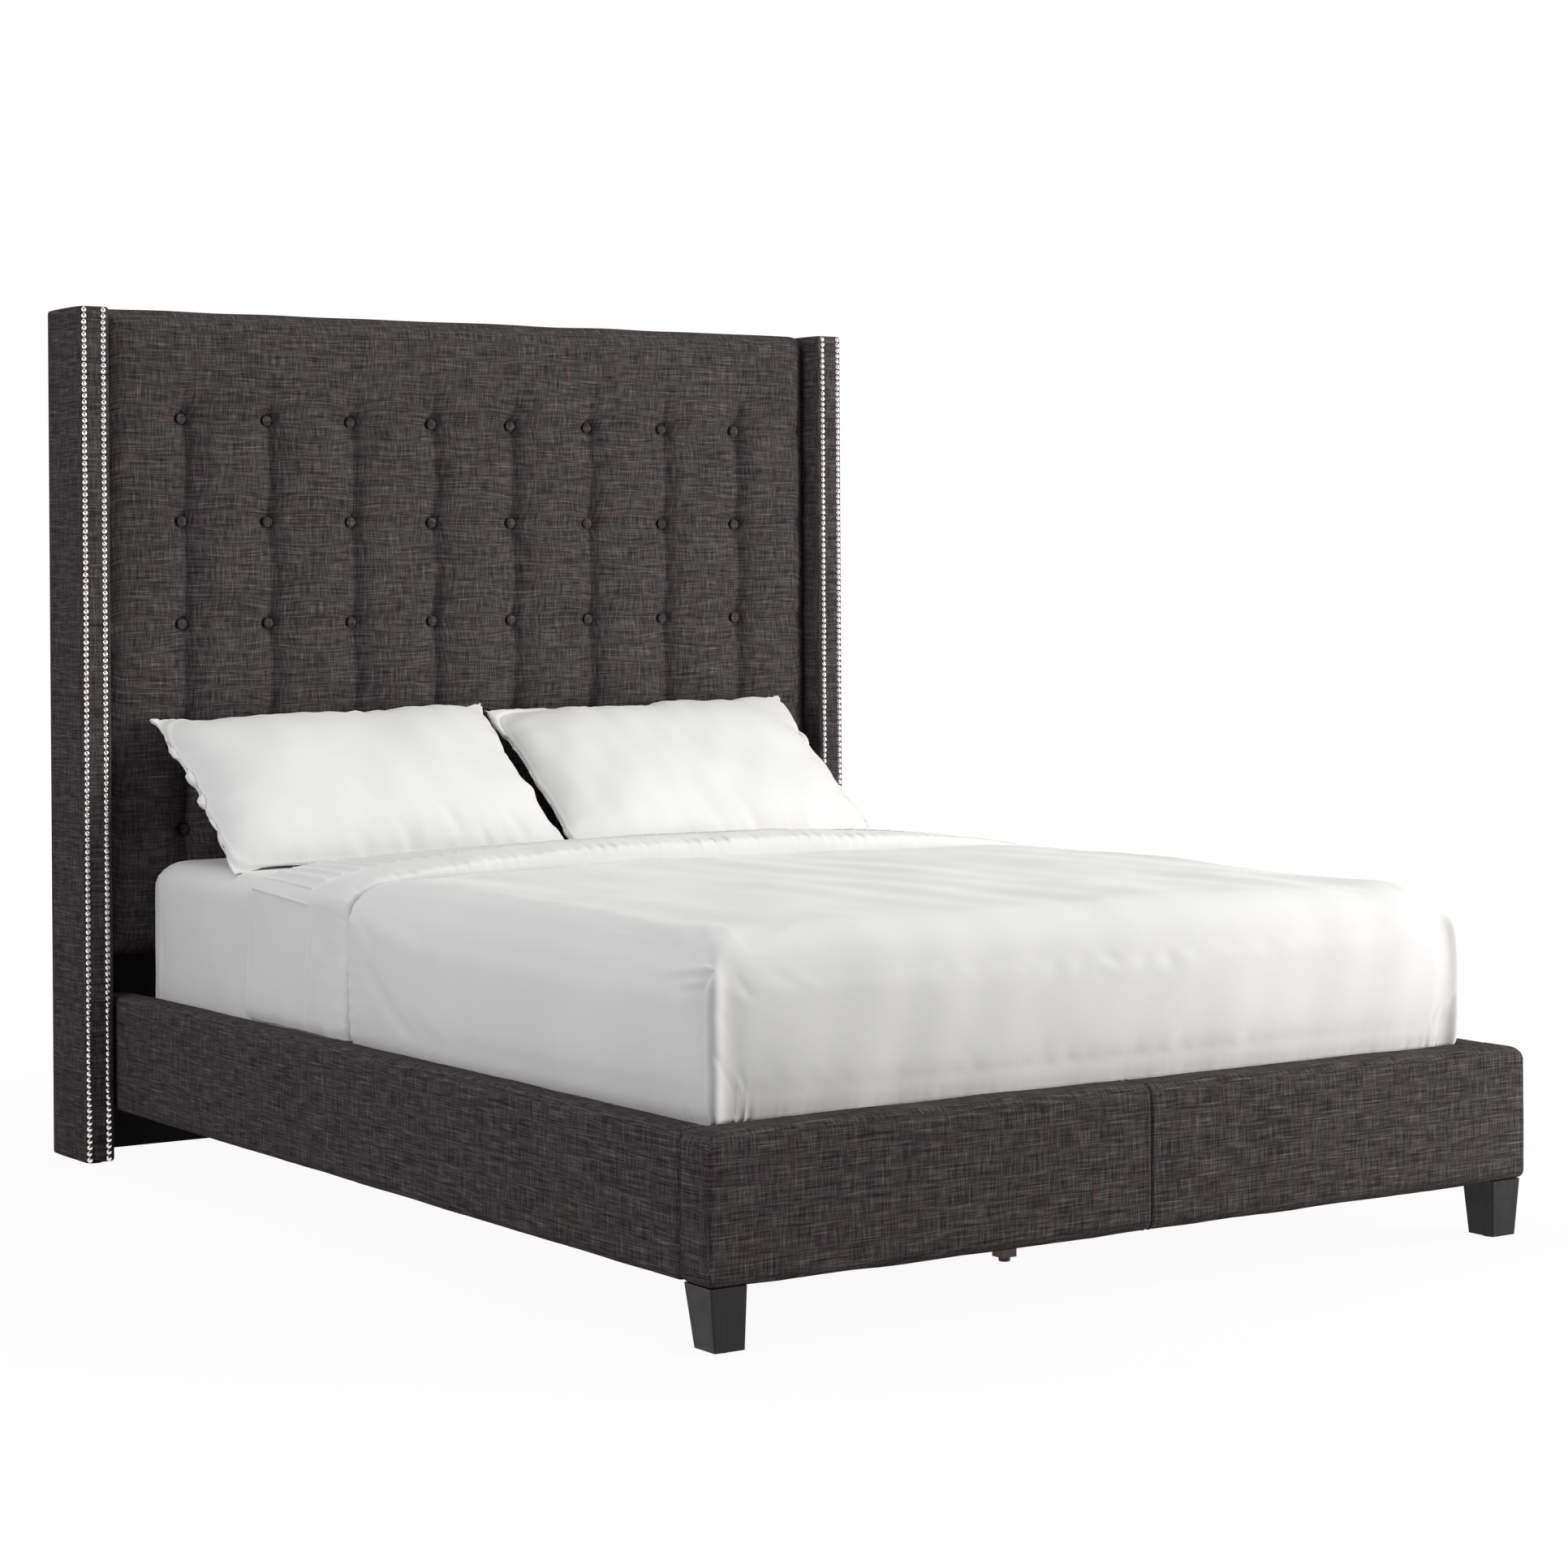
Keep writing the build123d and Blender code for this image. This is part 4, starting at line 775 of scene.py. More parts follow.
def puff_out(piece, low, high, puff, seed):
    """Swells the flat faces of a box by a little, most in their middles, and adds a trace of unevenness."""
    at = read_points(piece)
    low, high = np.array(low), np.array(high)
    share = np.clip((at - low) / (high - low), 0, 1)
    dome = 1 - np.abs(2 * share - 1) ** 6
    uneven = waves(at, 0.16, seed) * 0.35 + waves(at, 0.055, seed + 1) * 0.12
    moved = at.copy()
    for axis in range(3):
        others = [i for i in range(3) if i != axis]
        swell = puff * dome[:, others[0]] * dome[:, others[1]] * (1 + uneven)
        for face, sign in ((low[axis], -1), (high[axis], 1)):
            near = np.abs(at[:, axis] - face) < 0.0004
            moved[:, axis] += np.where(near, sign * swell, 0)
    write_points(piece, moved)


def press_seam(piece, distance, width, depth):
    """Presses a groove along the line where distance(points) is zero, against the surface's normals."""
    at = read_points(piece)
    off = distance(at)
    groove = depth * np.exp(-(off / width) ** 2) - 0.35 * depth * np.exp(-((np.abs(off) - 2.4 * width) / width) ** 2)
    write_points(piece, at - read_normals(piece) * groove[:, None])


def cut_across(piece, axis, places):
    """Cuts the mesh with planes across the axis."""
    normal = [0, 0, 0]
    normal[axis] = 1

    def steps(_):
        for place in places:
            spot = [0, 0, 0]
            spot[axis] = place
            bpy.ops.mesh.select_all(action="SELECT")
            bpy.ops.mesh.bisect(plane_co=spot, plane_no=normal)
    edit(piece, steps)


def stitches(name, start, end, out, length=0.0042, gap=0.0016, thick=0.0005):
    """A row of topstitches from start to end, standing a little out of the cloth."""
    start, end, out = Vector(start), Vector(end), Vector(out)
    way = (end - start).normalized()
    count = int((end - start).length / (length + gap))
    deselect_all()
    bpy.ops.mesh.primitive_uv_sphere_add(segments=6, ring_count=4, radius=thick)
    stitch = bpy.context.object
    turn = way.to_track_quat("Z", "Y").to_matrix().to_4x4() @ Matrix.Diagonal((1, 1, length / 2 / thick, 1))
    places = [
        Matrix.Translation(start + way * ((i + 0.5) * (length + gap)) + out * thick * 0.5) @ turn
        for i in range(count)
    ]
    return repeat(stitch, places, name)


class BED_OT_wings(bpy.types.Operator):
    """Cover both wings in linen, over thin padding"""
    bl_idname = "bed.wings"
    bl_label = "Wings"

    def execute(self, context):
        for side, seed in (("left", 21), ("right", 25)):
            low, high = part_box(f"wing_cover_{side}")
            piece = block(f"wing_linen_{side}", low, high, cells=(4, 9, 84), edge_round=0.006)
            puff_out(piece, low, high, puff=0.0012, seed=seed)
            upholster(piece, f"wing_cover_{side}")
        return {"FINISHED"}


class BED_OT_wing_nails(bpy.types.Operator):
    """Set the two rows of domed nails on the front of each wing"""
    bl_idname = "bed.wing_nails"
    bl_label = "Wing nails"

    def execute(self, context):
        nails = context.scene.bed_nails
        for side, sign in (("left", -1), ("right", 1)):
            low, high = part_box(f"wing_cover_{side}")
            zone = high.z - low.z - 2 * nails.end_inset
            count = round(zone / nails.pitch) + 1
            outer, inner = (low.x, high.x) if sign < 0 else (high.x, low.x)
            xs = (outer - sign * nails.outer_inset, inner + sign * nails.inner_inset)
            nail = stud(sides=12, radius=nails.radius, depth=nails.rise * 0.3, middle=-nails.rise * 0.15)

            def dome(piece):
                select_where(piece, "faces", lambda face: face.normal.y < -0.9)
                for inset, rise in ((0.14, 0.27), (0.22, 0.25), (0.28, 0.14), (0.24, 0.04)):
                    bpy.ops.mesh.inset(thickness=nails.radius * inset, depth=0)
                    bpy.ops.transform.translate(value=(0, -nails.rise * rise, 0))
            edit(nail, dome, "FACE")
            draw = np.random.default_rng(31 if sign < 0 else 32)
            places = []
            for x in xs:
                for i in range(count):
                    z = low.z + nails.end_inset + i * zone / (count - 1)
                    tip = tipped(draw, most=0.12)
                    spot = (x + draw.uniform(-1, 1) * 0.0004, low.y, z)
                    places.append(Matrix.Translation(spot) @ tip)
            piece = repeat(nail, places, f"domed_nails_{side}")
            face_out(piece)
            smooth(piece, 60)
            look = context.scene.bed_finishes
            finish = metal("bright nickel nails", look.nail, roughness=0.15, mottle=120.0)
            hand_in(piece, finish, "nail_silver", "bed_frame", f"wing_nails_{side}")
        return {"FINISHED"}


class BED_OT_rails(bpy.types.Operator):
    """Cover both side rails in linen"""
    bl_idname = "bed.rails"
    bl_label = "Side rails"

    def execute(self, context):
        for side, seed in (("left", 41), ("right", 45)):
            low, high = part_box(f"rail_cover_{side}")
            piece = block(f"rail_linen_{side}", low, high, cells=(4, 90, 10), edge_round=0.012, steps=5)
            seam = -0.371
            cut_across(piece, 1, [seam + step for step in (-0.008, -0.005, -0.0025, 0, 0.0025, 0.005, 0.008)])
            puff_out(piece, low, high, puff=0.0016, seed=seed)
            press_seam(piece, lambda at: at[:, 1] - seam, width=0.0022, depth=0.0012)
            upholster(piece, f"rail_cover_{side}")
        return {"FINISHED"}


class BED_OT_footboard(bpy.types.Operator):
    """Cover the footboard: boxed ends with sewn outlines and a topstitched seam in the middle"""
    bl_idname = "bed.footboard"
    bl_label = "Footboard"

    def execute(self, context):
        low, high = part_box("footboard_cover")
        piece = block("footboard_linen", low, high, cells=(64, 5, 10), edge_round=0)

        def edge_weights(piece):
            """Wide rounding on the long edges and narrow rounding on the upright ones."""
            mesh = bmesh.from_edit_mesh(piece.data)
            weight = mesh.edges.layers.float.get("bevel_weight_edge") or mesh.edges.layers.float.new(
                "bevel_weight_edge")
            for edge in mesh.edges:
                if edge.calc_face_angle(0) > 1:
                    way = edge.verts[1].co - edge.verts[0].co
                    edge[weight] = 0.42 if abs(way.z) > 0.99 * way.length else 1.0
            bmesh.update_edit_mesh(piece.data)
        edit(piece, edge_weights, "EDGE")
        apply_modifier(piece, "BEVEL", width=0.014, segments=5, limit_method="WEIGHT")
        cut_across(piece, 0, (-0.012, -0.009, -0.006, -0.004, -0.002, 0, 0.002, 0.004, 0.006, 0.009, 0.012))
        puff_out(piece, low, high, puff=0.0026, seed=51)
        press_seam(piece, lambda at: at[:, 0], width=0.0024, depth=0.0022)

        def end_outline(piece):
            for sign in (-1, 1):
                select_where(piece, "faces", lambda face: face.normal.x * sign > 0.98)
                bpy.ops.mesh.inset(thickness=0.0012, depth=-0.0016)
                bpy.ops.mesh.inset(thickness=0.0022, depth=0.0022)
        edit(piece, end_outline, "FACE")
        at = read_points(piece)
        corner = np.clip((np.abs(at[:, 0]) - (high.x - 0.034)) / 0.034, 0, 1) ** 2.4
        at[:, 2] -= 0.011 * corner * ease(at[:, 2], high.z - 0.05, high.z)
        write_points(piece, at)
        upholster(piece, "footboard_cover")
        rows = []
        for x in (-0.007, 0.007):
            rows.append(stitches("seam", (x, low.y - 0.0021, low.z + 0.012), (x, low.y - 0.0021, high.z - 0.016),
                                 (0, -1, 0)))
            rows.append(stitches("seam", (x, low.y + 0.016, high.z + 0.0016), (x, high.y - 0.014, high.z + 0.0016),
                                 (0, 0, 1)))
        sewn = join(rows, "footboard_topstitch")
        face_out(sewn)
        smooth(sewn)
        thread = cloth("black sewing thread", (0.05, 0.046, 0.044), (0.02, 0.018, 0.018), thread=0.0006)
        hand_in(sewn, thread, "charcoal_linen", "bed_frame")
        return {"FINISHED"}


class BED_OT_frame_parts(bpy.types.Operator):
    """Finish the timber, metal and plastic parts of the frame"""
    bl_idname = "bed.frame_parts"
    bl_label = "Frame parts"

    def execute(self, context):
        pine_light, pine_dark = (0.58, 0.42, 0.25), (0.40, 0.25, 0.12)
        pine_x = wood("pine across", pine_light, pine_dark, along=0)
        pine_y = wood("pine along", pine_light, pine_dark, along=1)
        pine_z = wood("pine upright", pine_light, pine_dark, along=2)
        brown = wood("brown stained wood", (0.23, 0.13, 0.085), (0.10, 0.052, 0.033), along=2, roughness=0.45)
        steel = metal("zinc plated steel", (0.62, 0.62, 0.6), roughness=0.36)
        nylon = plastic("black nylon", (0.02, 0.02, 0.021), roughness=0.5)
        dust = cloth("black dust cloth", (0.022, 0.022, 0.023), (0.011, 0.011, 0.012), thread=0.002)
        board = cloth("black board cover", (0.012, 0.012, 0.013), (0.007, 0.007, 0.008), thread=0.0016)
        web = cloth("grey webbing", (0.42, 0.42, 0.41), (0.28, 0.28, 0.28), thread=0.0012)
        finishes = {
            "headboard_posts": pine_z, "headboard_cross_rails": pine_x, "headboard_panel": plywood(),
            "headboard_lower_panel": board, "headboard_back_cover": dust, "wing_core_left": pine_z,
            "wing_core_right": pine_z, "wing_bolts": steel, "rail_core_left": pine_y, "rail_core_right": pine_y,
            "footboard_core": pine_x, "corner_brackets": steel, "bracket_bolts": steel, "leg_left": lacquer(),
            "leg_right": lacquer(), "leg_glides": nylon, "leg_bolts": steel, "wing_glides": nylon,
            "slat_ledgers": pine_y, "ledger_screws": steel, "slats": pine_x, "slat_straps": web,
            "centre_beam": pine_y, "beam_hangers": steel, "hanger_screws": steel, "centre_legs": brown,
            "centre_leg_bolts": steel, "centre_leg_nuts": steel, "centre_glide_foot": nylon,
            "centre_glide_middle": nylon, "centre_glide_head": nylon,
        }
        for name, finish in finishes.items():
            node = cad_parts[name]
            for slot in node.material_slots:
                slot.material = finish
        return {"FINISHED"}


# ---- Bed linen ----

class Drape:
    """How cloth lies over the mattress: flat on top, round at the shoulder, straight down to its hem."""

    def __init__(self, half, foot, head, corner, shoulder, top, hem, tuck_in=0.0, tuck_down=0.0, square=2.0,
                 square_below=0.0):
        self.half, self.foot, self.head = half, foot, head
        self.corner, self.shoulder, self.top, self.hem = corner, shoulder, top, hem
        self.tuck_in, self.tuck_down = tuck_in, tuck_down
        self.square, self.square_below = square, square_below
        self.inner_x = half - corner
        self.inner_foot = foot + corner
        self.flat = corner - shoulder
        self.arc = shoulder * pi / 2
        self.drop = top - shoulder - hem
        self.reach = self.flat + self.arc + self.drop + tuck_down

    def profile(self, run):
        """Plan reach and height after a run of cloth from the inner edge."""
        angle = np.clip((run - self.flat) / self.shoulder, 0, pi / 2)
        down = np.maximum(0, run - self.flat - self.arc)
        reach = np.minimum(run, self.flat) + self.shoulder * np.sin(angle)
        height = self.top - self.shoulder * (1 - np.cos(angle)) - down
        tuck = np.clip((down - self.drop) / max(self.tuck_down, 1e-6), 0, 1)
        near_hem = np.clip((down - self.drop + 0.03) / 0.03, 0, 1) ** 2
        return reach - self.tuck_in * np.maximum(tuck, 0.35 * near_hem), height

    def lay(self, across, along, both_ends=False):
        """Places of cloth points: across from the middle line, along from the head end, in metres of cloth."""
        over_x = np.maximum(0, np.abs(across) - self.inner_x)
        run_y = self.head - self.inner_foot
        over_y = np.maximum(0, along - run_y)
        base_y = self.head - np.minimum(along, run_y)
        turned = -1.0
        if both_ends:
            middle = (self.head - self.corner + self.inner_foot) / 2
            half_y = (self.head - self.corner - self.inner_foot) / 2
            over_y = np.maximum(0, np.abs(along) - half_y)
            base_y = middle - np.clip(along, -half_y, half_y)
            turned = -np.sign(along)
        run = np.maximum(over_x, over_y)
        larger = np.maximum(run, 1e-9)
        angle = np.where(over_x >= over_y, pi / 4 * over_y / larger, pi / 2 - pi / 4 * over_x / larger)
        reach, height = self.profile(run)
        # A power above 2 makes the corners squarer; with both ends draped, only those of the head
        power = np.where(turned > 0, self.square, 2.0) if both_ends else self.square
        power = power + self.square_below * ease(run, self.flat + 0.5 * self.arc, self.flat + self.arc + 0.05)
        cosine, sine = np.cos(angle), np.sin(angle)
        full = (cosine ** power + np.maximum(sine, 1e-9) ** power) ** (-1 / power)
        reach = reach * (1 + (full - 1) * ease(run, self.flat, self.flat + self.arc))
        x = np.sign(across) * (np.minimum(np.abs(across), self.inner_x) + reach * cosine)
        y = base_y + turned * reach * sine
        outward = np.column_stack((np.sign(across) * np.cos(angle), turned * np.sin(angle)))
        return np.column_stack((x, y, height)), outward, run


class BED_OT_mattress(bpy.types.Operator):
    """Make the mattress: quilted ticking with a taped edge round its top and base"""
    bl_idname = "bed.mattress"
    bl_label = "Mattress"

    def execute(self, context):
        low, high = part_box("mattress")
        top_round, base_round, thick = 0.058, 0.026, 0.303

        def shape(u, v):
            turn = u * 2 * pi
            stops = np.array([0.0, 0.10, 0.2, 0.34, 0.40, 0.46, 0.54, 0.62, 0.70, 0.8, 0.9, 1.0])
            inset = np.array([1.0, 0.5, 0.1, base_round, base_round * 0.3, 0, 0, 0, top_round * 0.3, top_round,
                              0.3, 1.0])
            rise = np.array([0, 0, 0, 0, base_round * 0.35, base_round, 0.15, 0.245,
                             thick - top_round * 0.35, thick, thick, thick])
            inset = np.interp(v, stops, np.minimum(inset, 0.74))
            height = np.interp(v, stops, rise)
            half_x, half_y = (high.x - low.x) / 2, (high.y - low.y) / 2
            c, s = np.cos(turn), np.sin(turn)
            power = 0.14
            x = np.sign(c) * np.abs(c) ** power * (half_x - inset)
            y = np.sign(s) * np.abs(s) ** power * (half_y - inset)
            quilting = 0.0016 * np.cos(x * 2 * pi / 0.11) * np.cos(y * 2 * pi / 0.11)
            level = (inset > 0.07) * np.where(v > 0.5, 1, -1)
            z = low.z + height - (0.0022 - quilting) * level
            mid_y = (low.y + high.y) / 2
            return np.column_stack((x, y + mid_y, z)), np.column_stack((x, y))
        piece = cloth_grid("mattress_ticking", 240, 60, shape)
        close_up(piece)
        smooth(piece, 60)
        ticking = cloth("mattress ticking", (0.78, 0.77, 0.74), (0.62, 0.61, 0.58), thread=0.0012)
        hand_in(piece, ticking, "ticking", "mattress_set", "mattress")
        return {"FINISHED"}


class BED_OT_fitted_sheet(bpy.types.Operator):
    """Stretch the fitted sheet over the mattress, with its gathered hem under the rim"""
    bl_idname = "bed.fitted_sheet"
    bl_label = "Fitted sheet"

    def execute(self, context):
        low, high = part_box("fitted_sheet")
        rim = low.z + 0.030
        lay = Drape(high.x, low.y, high.y + 0.018, corner=0.0775, shoulder=0.046, top=high.z, hem=rim, square=4.0)
        under, turn_in = 0.055, 0.0275
        reach_x = lay.inner_x + lay.reach + under
        half_y = (lay.head - lay.corner - lay.inner_foot) / 2
        reach_y = half_y + lay.reach + under

        def shape(u, v):
            across, along = (2 * u - 1) * reach_x, (2 * v - 1) * reach_y
            at, outward, run = lay.lay(across, along, both_ends=True)
            below = np.clip(run - lay.reach, 0, under)
            bend = np.minimum(below / 0.028, 1) * pi / 2
            inward = turn_in * (1 - np.cos(bend)) + np.maximum(0, below - 0.04) * 1.2
            at[:, 2] = np.where(below > 0, rim - turn_in * np.sin(bend) - 0.0008 * (below > 0.03), at[:, 2])
            at[:, :2] -= outward * inward[:, None]
            side = ease(run, lay.flat + lay.arc * 0.6, lay.flat + lay.arc + 0.03)
            folds = 0.0009 * waves(at * (1, 1, 0.35), 0.17, 61) + 0.0004 * waves(at, 0.07, 63)
            pull = 0.0016 * np.sin(np.arctan2(outward[:, 1], outward[:, 0]) * 16) * np.exp(
                -((np.abs(outward[:, 0]) - np.abs(outward[:, 1])) / 0.8) ** 2) * (
                np.abs(outward[:, 0]) > 0.01) * (np.abs(outward[:, 1]) > 0.01)
            at[:, :2] += outward * ((np.abs(folds) + pull) * side * (below <= 0))[:, None]
            at[:, 2] += 0.0004 * waves(at, 0.3, 65) * (1 - side)
            return at, np.column_stack((across, along))
        piece = cloth_grid("fitted_sheet_cotton", 150, 180, shape)
        face_out(piece)
        apply_modifier(piece, "SOLIDIFY", thickness=0.0008, offset=-1)
        smooth(piece, 60)
        hand_in(piece, cotton(), "white_cotton", "mattress_set", "fitted_sheet")
        return {"FINISHED"}


class BED_OT_flat_sheet(bpy.types.Operator):
    """Lay the flat sheet and turn its head end down: a pin-tucked band, then a soft roll over the duvet's end"""
    bl_idname = "bed.flat_sheet"
    bl_label = "Flat sheet"

    def execute(self, context):
        clothes = context.scene.bed_clothes
        head_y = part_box("flat_sheet")[1].y
        fitted_low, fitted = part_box("fitted_sheet")
        off = 0.0006
        under = Drape(fitted.x + off, fitted_low.y - off, head_y, corner=0.0785, shoulder=0.047,
                      top=fitted.z + off, hem=clothes.hem)
        reach_x = under.inner_x + under.reach
        length = under.head - under.inner_foot + under.reach

        def lower(u, v):
            across, along = (2 * u - 1) * reach_x, v * length
            at, _, _ = under.lay(across, along)
            return at, np.column_stack((across, along))
        below = cloth_grid("sheet_below", 110, 100, lower)
        face_out(below)

        # Along the turned-down part: how far it stands over its shoulder line, how much wider than the fitted sheet
        # it is, how flat its top is and how far its side flares
        stops = np.array([0, 0.033, 0.12, 0.21, 0.262, 0.288, 0.31, 0.335, 0.36, 0.385, 0.404, 0.4140, 0.4182, 0.4203,
                          0.4215, 0.4222, 0.4235])
        stands = np.array([0.0665, 0.0695, 0.079, 0.088, 0.0925, 0.0935, 0.0975, 0.0995, 0.0995, 0.0985, 0.0965,
                           0.0940, 0.0905, 0.0870, 0.0820, 0.0650, 0.045])
        widths = np.array([0.0125, 0.0135, 0.0155, 0.0170, 0.0178, 0.0180, 0.0184, 0.0188, 0.0190, 0.0190, 0.0182,
                           0.0162, 0.0132, 0.0100, 0.0060, -0.0060, -0.0140])
        tops = np.array([4.2, 4.0, 3.1, 2.4, 2.1, 2.0, 2.0, 2.0, 2.0, 2.0, 2.0, 2.0, 2.0, 2.05, 2.1, 2.3, 2.5])
        flares = np.array([0.0085, 0.0090, 0.0095, 0.0095, 0.0090, 0.0080, 0.0065, 0.0050, 0.0040, 0.0034, 0.0030,
                           0.0025, 0.0020, 0.0020, 0.0020, 0.0020, 0.0020])
        shoulder_z = fitted.z - 0.036
        fold_rows = 6

        def section(along):
            """The turned-down part from its middle to the hem, as run, place across and height."""
            stand, wide, power, flare = (np.interp(along, stops, row) for row in (stands, widths, tops, flares))
            hem_x = fitted.x + off + wide
            half = hem_x - flare
            level = np.interp(power, (2.0, 4.0), (0.33, 0.40))
            phi = np.concatenate((np.linspace(0, 1.2, 40), np.linspace(1.2, pi / 2, 60)[1:]))
            x = half * np.sin(phi) ** (2 / power)
            z = shoulder_z + stand * np.cos(phi).clip(0) ** (2 * level)
            down = np.linspace(0, 1, 8)[1:]
            x = np.append(x, half + flare * np.sin(down * pi / 2))
            z = np.append(z, shoulder_z + (clothes.hem - shoulder_z) * down)
            run = np.concatenate(([0], np.cumsum(np.hypot(np.diff(x), np.diff(z)))))
            return run, x, z
        last_tuck = 0.80
        tucks = np.arange(0, last_tuck, clothes.tuck_pitch)
        offsets = np.array([-0.0085, -0.0045, -0.0024, -0.0010, 0.0, 0.0011, 0.0026, 0.0048, 0.0085])
        half_marks = (tucks[:, None] + offsets).ravel()
        half_marks = half_marks[half_marks > 0.0005]
        plain_columns = 26
        columns = len(half_marks) + plain_columns
        rows_along = np.concatenate((np.zeros(fold_rows), np.linspace(0, 0.014, 7), np.linspace(0.014, 0.252, 15)[1:],
                                     [0.256, 0.2585, 0.260, 0.2615, 0.264, 0.2660, 0.2675, 0.2690, 0.272, 0.276],
                                     np.linspace(0.276, 0.385, 18)[1:], np.linspace(0.385, 0.404, 7)[1:],
                                     [0.408, 0.4115, 0.414, 0.4162, 0.4180, 0.4194, 0.4205, 0.4213, 0.4219, 0.4224,
                                      0.4229, 0.4235]))

        def upper(u, v):
            column = np.round((2 * u - 1) * columns).astype(int)
            row = np.round(v * (len(rows_along) - 1)).astype(int)
            along = rows_along[row]
            across, x, z = np.zeros_like(u), np.zeros_like(u), np.zeros_like(u)
            for number, reach in enumerate(rows_along):
                here = row == number
                run, side_x, side_z = section(reach)
                plain = np.linspace(half_marks[-1] + 0.006, run[-1], plain_columns)
                marks = np.concatenate(([0], half_marks, plain))
                across[here] = marks[np.abs(column[here])]
                # The tucks slant down the side, and the slant is gone at the hem
                slant = 0.10 * reach * ease(across[here], 0.55, 0.72) * (
                    1 - ease(across[here], half_marks[-1], run[-1] - 0.02))
                x[here] = np.interp(across[here] + slant, run, side_x)
                z[here] = np.interp(across[here] + slant, run, side_z)
            side = np.sign(column)
            at = np.column_stack((side * x, head_y - along, z))
            out = ease(across, 0.66, 0.88)
            normal = np.column_stack((side * out, np.zeros_like(x), np.sqrt(1 - out ** 2)))
            # Pin tucks, each pressed to one side, from just inside the hem to the stitched line
            nearest = across - np.round(across / clothes.tuck_pitch) * clothes.tuck_pitch
            ridge = np.where(nearest < 0, np.exp(-(nearest / 0.0030) ** 2), np.exp(-(nearest / 0.0009) ** 2))
            in_band = ease(along, 0.006, 0.014) * (1 - ease(along, 0.254, 0.260)) * (across < half_marks[-1] + 0.001)
            lift = clothes.tuck_rise * ridge * in_band
            for line in (0.010, 0.260, 0.2675):
                lift -= 0.0011 * np.exp(-((along - line) / 0.0016) ** 2) * (row >= fold_rows)
            for line in (0.016, 0.023):
                lift -= 0.0008 * np.exp(-((across - half_marks[-1] - line) / 0.0016) ** 2) * (along < 0.256)
            # Faint creases along the roll, and small gathers where it goes down beside the duvet
            in_roll = ease(along, 0.288, 0.31)
            lift += in_roll * (0.0016 * waves(at * (1, 0.45, 1), 0.17, 71) + 0.0007 * waves(at * (1, 0.6, 1), 0.05, 73))
            gather = np.abs(np.sin(across * pi / 0.024 + 1.6 * np.sin(across * 9) + side)) ** 3
            lift -= 0.0042 * gather * ease(along, 0.380, 0.412) * (0.4 + 0.6 * waves(at * (1, 0, 1), 0.25, 75) ** 2)
            lift += (1 - in_roll) * (0.0009 * waves(at, 0.22, 77) + 0.0005 * waves(at * (1, 1, 0.5), 0.07, 78))
            hem_gather = np.exp(-(z - clothes.hem) / 0.022) * 0.0018 * waves(at * (0, 1, 0.1), 0.05, 79)
            lift = np.maximum(lift + np.maximum(hem_gather, -0.0008), -0.0045)
            at += normal * lift[:, None]
            # The hem lies on the sheet below: its edge turns down to it
            folded = 1 - np.minimum(row, fold_rows) / fold_rows
            base, _, _ = under.lay(side * across, np.zeros_like(across))
            base[:, 1] = head_y
            base[:, 2] = np.maximum(base[:, 2], clothes.hem)
            at = at + (base - at) * (np.sin(folded * pi / 2) ** 2.2)[:, None]
            at[:, 1] += 0.004 * np.sin(folded * pi) ** 0.7 + 0.0005 * waves(at * (1, 0, 1), 0.12, 80)
            # The hem of the side leans in to the mattress
            at[:, 0] -= side * 0.006 * np.clip((clothes.hem + 0.02 - at[:, 2]) / 0.02, 0, 1) ** 2
            return at, np.column_stack((side * across, along + 0.01 * (1 - folded)))
        above = cloth_grid("sheet_above", 2 * columns, len(rows_along) - 1, upper)
        face_out(above)
        piece = join([above, below], "flat_sheet_cotton")
        apply_modifier(piece, "SOLIDIFY", thickness=0.0006, offset=-1)
        smooth(piece, 60)
        hand_in(piece, cotton(), "white_cotton", "mattress_set", "flat_sheet")
        return {"FINISHED"}


